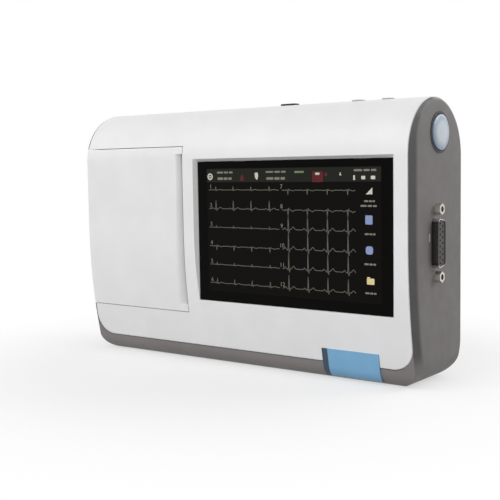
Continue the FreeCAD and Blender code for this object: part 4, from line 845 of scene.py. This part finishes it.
SIGNS = (
    Sign(Ink.PALE, ((32.7, 4.0), (33.3, 5.4), (34.3, 5.9), (34.9, 3.8), (34.6, 2.0), (32.6, 2.2))),
    Sign(Ink.PALE, ((84.5, 3.9), (85.9, 3.9), (85.5, 3.2), (85.4, 2.4), (85.0, 2.4), (84.9, 3.2))),
    Sign(Ink.PALE, ((99.6, 13.2), (103.2, 13.2), (103.2, 9.9))),
    Sign(Ink.RED, ((22.6, 6.2), (25.6, 6.2), (25.2, 4.6), (24.7, 3.2), (23.7, 3.2), (23.1, 4.6))),
)
# The bells of one beat, as place in metres, share of the spike's height, and width in metres.
BELLS = np.array([(-2.2, 0.10, 0.55), (-0.42, -0.10, 0.22), (0.0, 1.0, 0.2),
                  (0.45, -0.22, 0.24), (3.0, 0.16, 0.95)]) * np.array([MM, 1.0, MM])


@dataclass
class ScreenPicture:
    """What the display shows: a status bar, twelve traces in two columns, and a column of icons.

    Places are measured from the upper left corner of the picture, right and down.
    """

    inset_left: float = 6.4 * MM
    inset_top: float = 4.0 * MM
    width: float = 108.0 * MM
    height: float = 66.4 * MM
    bar_middle: float = 3.4 * MM
    bar_height: float = 7.2 * MM
    first_row: float = 11.2 * MM
    row: float = 10.15 * MM
    beat: float = 11.9 * MM
    first_beat: float = 6.1 * MM
    trace_width: float = 0.36 * MM
    trace_points: int = 620
    number_height: float = 2.3 * MM
    number_rise: float = 1.7 * MM
    dial_at: tuple[float, float] = (2.3 * MM, -4.0 * MM)
    dial_radius: float = 1.45 * MM
    dial_line: float = 0.75 * MM
    dot_at: tuple[float, float] = (76.8 * MM, -3.4 * MM)
    dot_radius: float = 0.9 * MM
    step: float = 0.02 * MM
    body: str = "case"

    def __post_init__(self) -> None:
        """Set the plane of the picture by the glass."""
        low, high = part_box("touch_glass")
        corner = (low.x + self.inset_left, low.y, high.z - self.inset_top)
        self.plane = Plane(corner, (1, 0, 0), (0, 0, 1))

    def at(self, layer: int) -> tuple[float, float]:
        """Back and front heights of a layer of the picture."""
        return self.step * layer, self.step * (layer + 1)

    def row_at(self, row: int) -> float:
        """Height of a row's base line, from the picture's top."""
        return -(self.first_row + row * self.row)

    def heart_line(self, along: np.ndarray, spike: float) -> np.ndarray:
        """Height of one trace: five bell curves for each beat.

        The bells are the P wave, the Q, R and S deflections and the T wave, and each is
        height * exp(-((distance to the beat) / width) ** 2).

        Args:
            along: Places along the trace.
            spike: Height of the R deflection.

        Returns:
            The height at each place.
        """
        near = (along - self.first_beat + self.beat / 2) % self.beat - self.beat / 2
        gap = (near[:, None] - BELLS[None, :, 0]) / BELLS[None, :, 2]
        return spike * (np.exp(-gap ** 2) * BELLS[None, :, 1]).sum(axis=1)

    def ground(self) -> None:
        """The dark field and the status bar across its top."""
        field_shell, bar_shell = Shell(), Shell()
        middle = self.width / 2
        field_shell.block(self.plane, middle, -self.height / 2, self.width, self.height, *self.at(0))
        field_shell.piece("screen_field", Ink.FIELD, self.body)
        bar_shell.block(self.plane, middle, -self.bar_middle, self.width, self.bar_height, *self.at(1))
        bar_shell.piece("screen_status_bar", Ink.BAR, self.body)

    def traces(self) -> None:
        """Six traces in each column, the right ones with taller spikes."""
        shell = Shell()
        for column in COLUMNS:
            along = np.linspace(column.start * MM, column.end * MM, self.trace_points)
            for row, spike in enumerate(column.spikes):
                height = self.row_at(row) + self.heart_line(along, spike * MM)
                path = np.stack([along, height], axis=1)
                shell.line(self.plane, path, self.trace_width, *self.at(2))
        shell.piece("screen_traces", Ink.TRACE, self.body)

    def numbers(self) -> None:
        """The traces' numbers, 1 to 6 on the left and 7 to 12 on the right."""
        shell = Shell()
        places = [(column.numbers_at * MM, self.row_at(row) + self.number_rise)
                  for column in COLUMNS for row in range(len(column.spikes))]
        for value, (u, v) in enumerate(places, start=1):
            shell.number(self.plane, value, u, v, self.number_height, *self.at(2))
        shell.piece("screen_numbers", Ink.WORD, self.body)

    def tile(self, shell: Shell, tile: Tile) -> None:
        """Add one rounded block to a shell.

        Args:
            shell: What it joins.
            tile: Its place and size.
        """
        shell.block(self.plane, tile.right * MM, -tile.down * MM, tile.wide * MM, tile.tall * MM,
                    *self.at(tile.layer), tile.corner * MM)

    def words(self) -> None:
        """Plain bars where the display has lines of words."""
        shell = Shell()
        for start, end, down, tall in WORD_LINES:
            for a, b in WORD_SPANS * (end - start) + start:
                self.tile(shell, Tile(Ink.WORD, (a + b) / 2, down, b - a, tall))
        shell.piece("screen_bars", Ink.WORD, self.body)

    def icons(self) -> None:
        """Small generic signs in the status bar and down the right side."""
        shells = {ink: Shell() for ink in (Ink.PALE, Ink.RED, Ink.BLUE, Ink.YELLOW, Ink.GREEN)}
        dial = circle(*self.dial_at, self.dial_radius, sides=40)
        shells[Ink.PALE].line(self.plane, dial, self.dial_line, *self.at(2), closed=True)
        dot = circle(*self.dot_at, self.dot_radius, sides=32)
        shells[Ink.RED].prism(self.plane, dot, *self.at(3))
        for tile in TILES:
            self.tile(shells[tile.ink], tile)
        for sign in SIGNS:
            outline = np.array(sign.outline) * np.array([MM, -MM])
            shells[sign.ink].prism(self.plane, outline, *self.at(2))
        for ink, shell in shells.items():
            shell.piece(f"screen_{ink.name.lower()}_icons", ink, self.body)

    def build(self) -> None:
        """Lay the picture's field, bar, traces, numbers, words and icons on the glass."""
        self.ground()
        self.traces()
        self.numbers()
        self.words()
        self.icons()


@dataclass
class SideMarks:
    """The small printed mark beside the lead socket."""

    y: float = -8.6 * MM
    z: float = 73.4 * MM
    wide: float = 1.3 * MM
    tall: float = 4.2 * MM
    corner: float = 0.4 * MM
    sunk: float = 0.01 * MM
    proud: float = 0.04 * MM
    body: str = "case"

    def build(self) -> None:
        """Lay the mark on the right end panel as a thin rounded plate."""
        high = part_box("rear_housing")[1]
        plane = Plane((high.x, 0.0, 0.0), (0, 1, 0), (0, 0, 1))
        shell = Shell()
        shell.block(plane, self.y, self.z, self.wide, self.tall, -self.sunk, self.proud, self.corner)
        shell.piece("socket_mark", Ink.MARK, self.body)


@dataclass(frozen=True)
class Lamp:
    """One square soft lamp: its place, its side, its power in watts and the point that it faces."""

    name: str
    at: Place
    side: float
    power: float
    aim: Place = (0.0, 0.0, 0.07)

    def hang(self) -> None:
        """Put the lamp in the scene, turned towards its aim."""
        data = bpy.data.lights.new(self.name, "AREA")
        data.size = self.side
        data.energy = self.power
        lamp = bpy.data.objects.new(self.name, data)
        lamp.location = self.at
        lamp.rotation_euler = (Vector(self.aim) - Vector(self.at)).to_track_quat("-Z", "Y").to_euler()
        bpy.context.scene.collection.objects.link(lamp)


LAMPS = (
    Lamp("key", (-0.7, -1.5, 1.3), side=1.4, power=14.5),
    Lamp("fill", (0.0, -1.3, 0.08), side=0.5, power=8.6),
    Lamp("side", (0.5, 0.35, 0.4), side=0.3, power=1.3),
    Lamp("back", (0.2, 1.5, 1.0), side=1.2, power=7.0),
)


@dataclass
class Studio:
    """The pale floor, the soft lamps and the camera at the photograph's angle."""

    camera_at: Place = (0.3133, -0.4231, 0.1089)
    yaw: float = math.radians(37.15)
    pitch: float = math.radians(5.02)
    roll: float = math.radians(-0.96)
    lens: float = 67.68
    sensor: float = 36.0
    nearest: float = 0.01
    ambient: float = 0.5
    floor_radius: float = 6.0
    floor_rings: int = 24
    floor_sides: int = 64
    floor_shades: tuple[Colour, Colour] = ((247, 247, 247), (250, 250, 250))
    floor_cloud: float = 0.3
    floor_bounce: Colour = (135, 135, 135)
    floor_roughness: float = 0.9
    floor_gloss: float = 0.1
    white_from: float = 0.1
    white_full: float = 0.24
    white_share: float = 0.56

    def camera(self) -> None:
        """Set the camera by its place, its turn about Z, its tilt and its roll."""
        level = Vector((math.cos(self.yaw), math.sin(self.yaw), 0.0))
        forward = Vector((-math.sin(self.yaw), math.cos(self.yaw), 0.0))
        ahead = forward * math.cos(self.pitch) - Vector((0.0, 0.0, math.sin(self.pitch)))
        above = level.cross(ahead)
        right = level * math.cos(self.roll) + above * math.sin(self.roll)
        up = above * math.cos(self.roll) - level * math.sin(self.roll)
        data = bpy.data.cameras.new("camera")
        data.lens = self.lens
        data.sensor_width = self.sensor
        data.clip_start = self.nearest
        camera = bpy.data.objects.new("camera", data)
        turn = Matrix((right, up, -ahead)).transposed().to_4x4()
        camera.matrix_world = Matrix.Translation(self.camera_at) @ turn
        bpy.context.scene.collection.objects.link(camera)
        bpy.context.scene.camera = camera

    def world(self) -> None:
        """White for the camera and for reflections, and an even ambient light for the rest."""
        world = bpy.data.worlds.new("studio")
        world.use_nodes = True
        tree = world.node_tree
        tree.nodes.clear()
        make, link = tree.nodes.new, tree.links.new
        out, light = make("ShaderNodeOutputWorld"), make("ShaderNodeBackground")
        rays, power = make("ShaderNodeLightPath"), make("ShaderNodeMapRange")
        most, also = make("ShaderNodeMath"), make("ShaderNodeMath")
        most.operation = also.operation = "MAXIMUM"
        link(rays.outputs["Is Camera Ray"], most.inputs[0])
        link(rays.outputs["Is Glossy Ray"], most.inputs[1])
        link(most.outputs[0], also.inputs[0])
        link(rays.outputs["Is Transmission Ray"], also.inputs[1])
        link(also.outputs[0], power.inputs["Value"])
        power.inputs["To Min"].default_value = self.ambient
        link(power.outputs[0], light.inputs["Strength"])
        light.inputs["Color"].default_value = (1.0, 1.0, 1.0, 1.0)
        link(light.outputs[0], out.inputs["Surface"])
        bpy.context.scene.world = world

    def floor_paint(self) -> bpy.types.Material:
        """Pale paint that keeps the shadow and turns evenly white away from the object.

        Returns:
            The floor's material.
        """
        material = bpy.data.materials.new("floor_paint")
        sheet = NodeSheet(material)
        shader = sheet.shader.inputs
        rays = sheet.new("ShaderNodeLightPath")
        seen = sheet.math("MAXIMUM", rays.outputs["Is Camera Ray"], rays.outputs["Is Glossy Ray"])
        pale = sheet.between(sheet.noise(self.floor_cloud, 3.0), *map(linear, self.floor_shades))
        sheet.wire(sheet.between(seen, linear(self.floor_bounce), pale), shader["Base Color"])
        shader["Roughness"].default_value = self.floor_roughness
        shader["Specular IOR Level"].default_value = self.floor_gloss
        glow = sheet.new("ShaderNodeEmission")
        away = sheet.step(sheet.distance("XY"), self.white_from, self.white_full, self.white_share, 1.0)
        blend = sheet.new("ShaderNodeMixShader")
        sheet.wire(sheet.math("MULTIPLY", seen, away), blend.inputs[0])
        sheet.wire(sheet.shader.outputs[0], blend.inputs[1])
        sheet.wire(glow.outputs[0], blend.inputs[2])
        sheet.wire(blend.outputs[0], sheet.output.inputs["Surface"])
        return material

    def floor(self) -> None:
        """A round floor: rings of points whose radius grows with the square of their number."""
        rings, sides = self.floor_rings, self.floor_sides
        radius = (np.linspace(0, 1, rings + 1)[1:] ** 2 * self.floor_radius)[:, None, None]
        flat = (radius * circle(0.0, 0.0, 1.0, sides)[None, :, :]).reshape(-1, 2)
        inner = np.arange((rings - 1) * sides)
        after = inner - inner % sides + (inner + 1) % sides
        quads = np.stack([inner, inner + sides, after + sides, after], axis=1)
        shell = Shell()
        shell.add(np.column_stack([flat, np.zeros(len(flat))]),
                  np.concatenate([quads.ravel(), np.arange(sides)]),
                  np.concatenate([np.full(len(quads), 4), [sides]]))
        floor = shell.mesh("floor", self.floor_paint())

    def build(self) -> None:
        """Set up the camera, the light and the floor."""
        bpy.context.scene.view_settings.view_transform = "Standard"
        self.camera()
        self.world()
        self.floor()
        for lamp in LAMPS:
            lamp.hang()


def main() -> None:
    """Dress the parts, lay the picture on the screen and set up the studio."""
    logging.basicConfig(level=logging.INFO, format="%(message)s")
    slots = {row["node"]: row["material_slot"] for row in frame["record"]["subparts"]}
    Dressing().dress(frame["nodes"], slots)
    HeadSpring().build()
    ScreenPicture().build()
    SideMarks().build()
    Studio().build()


if __name__ == "__main__":
    main()
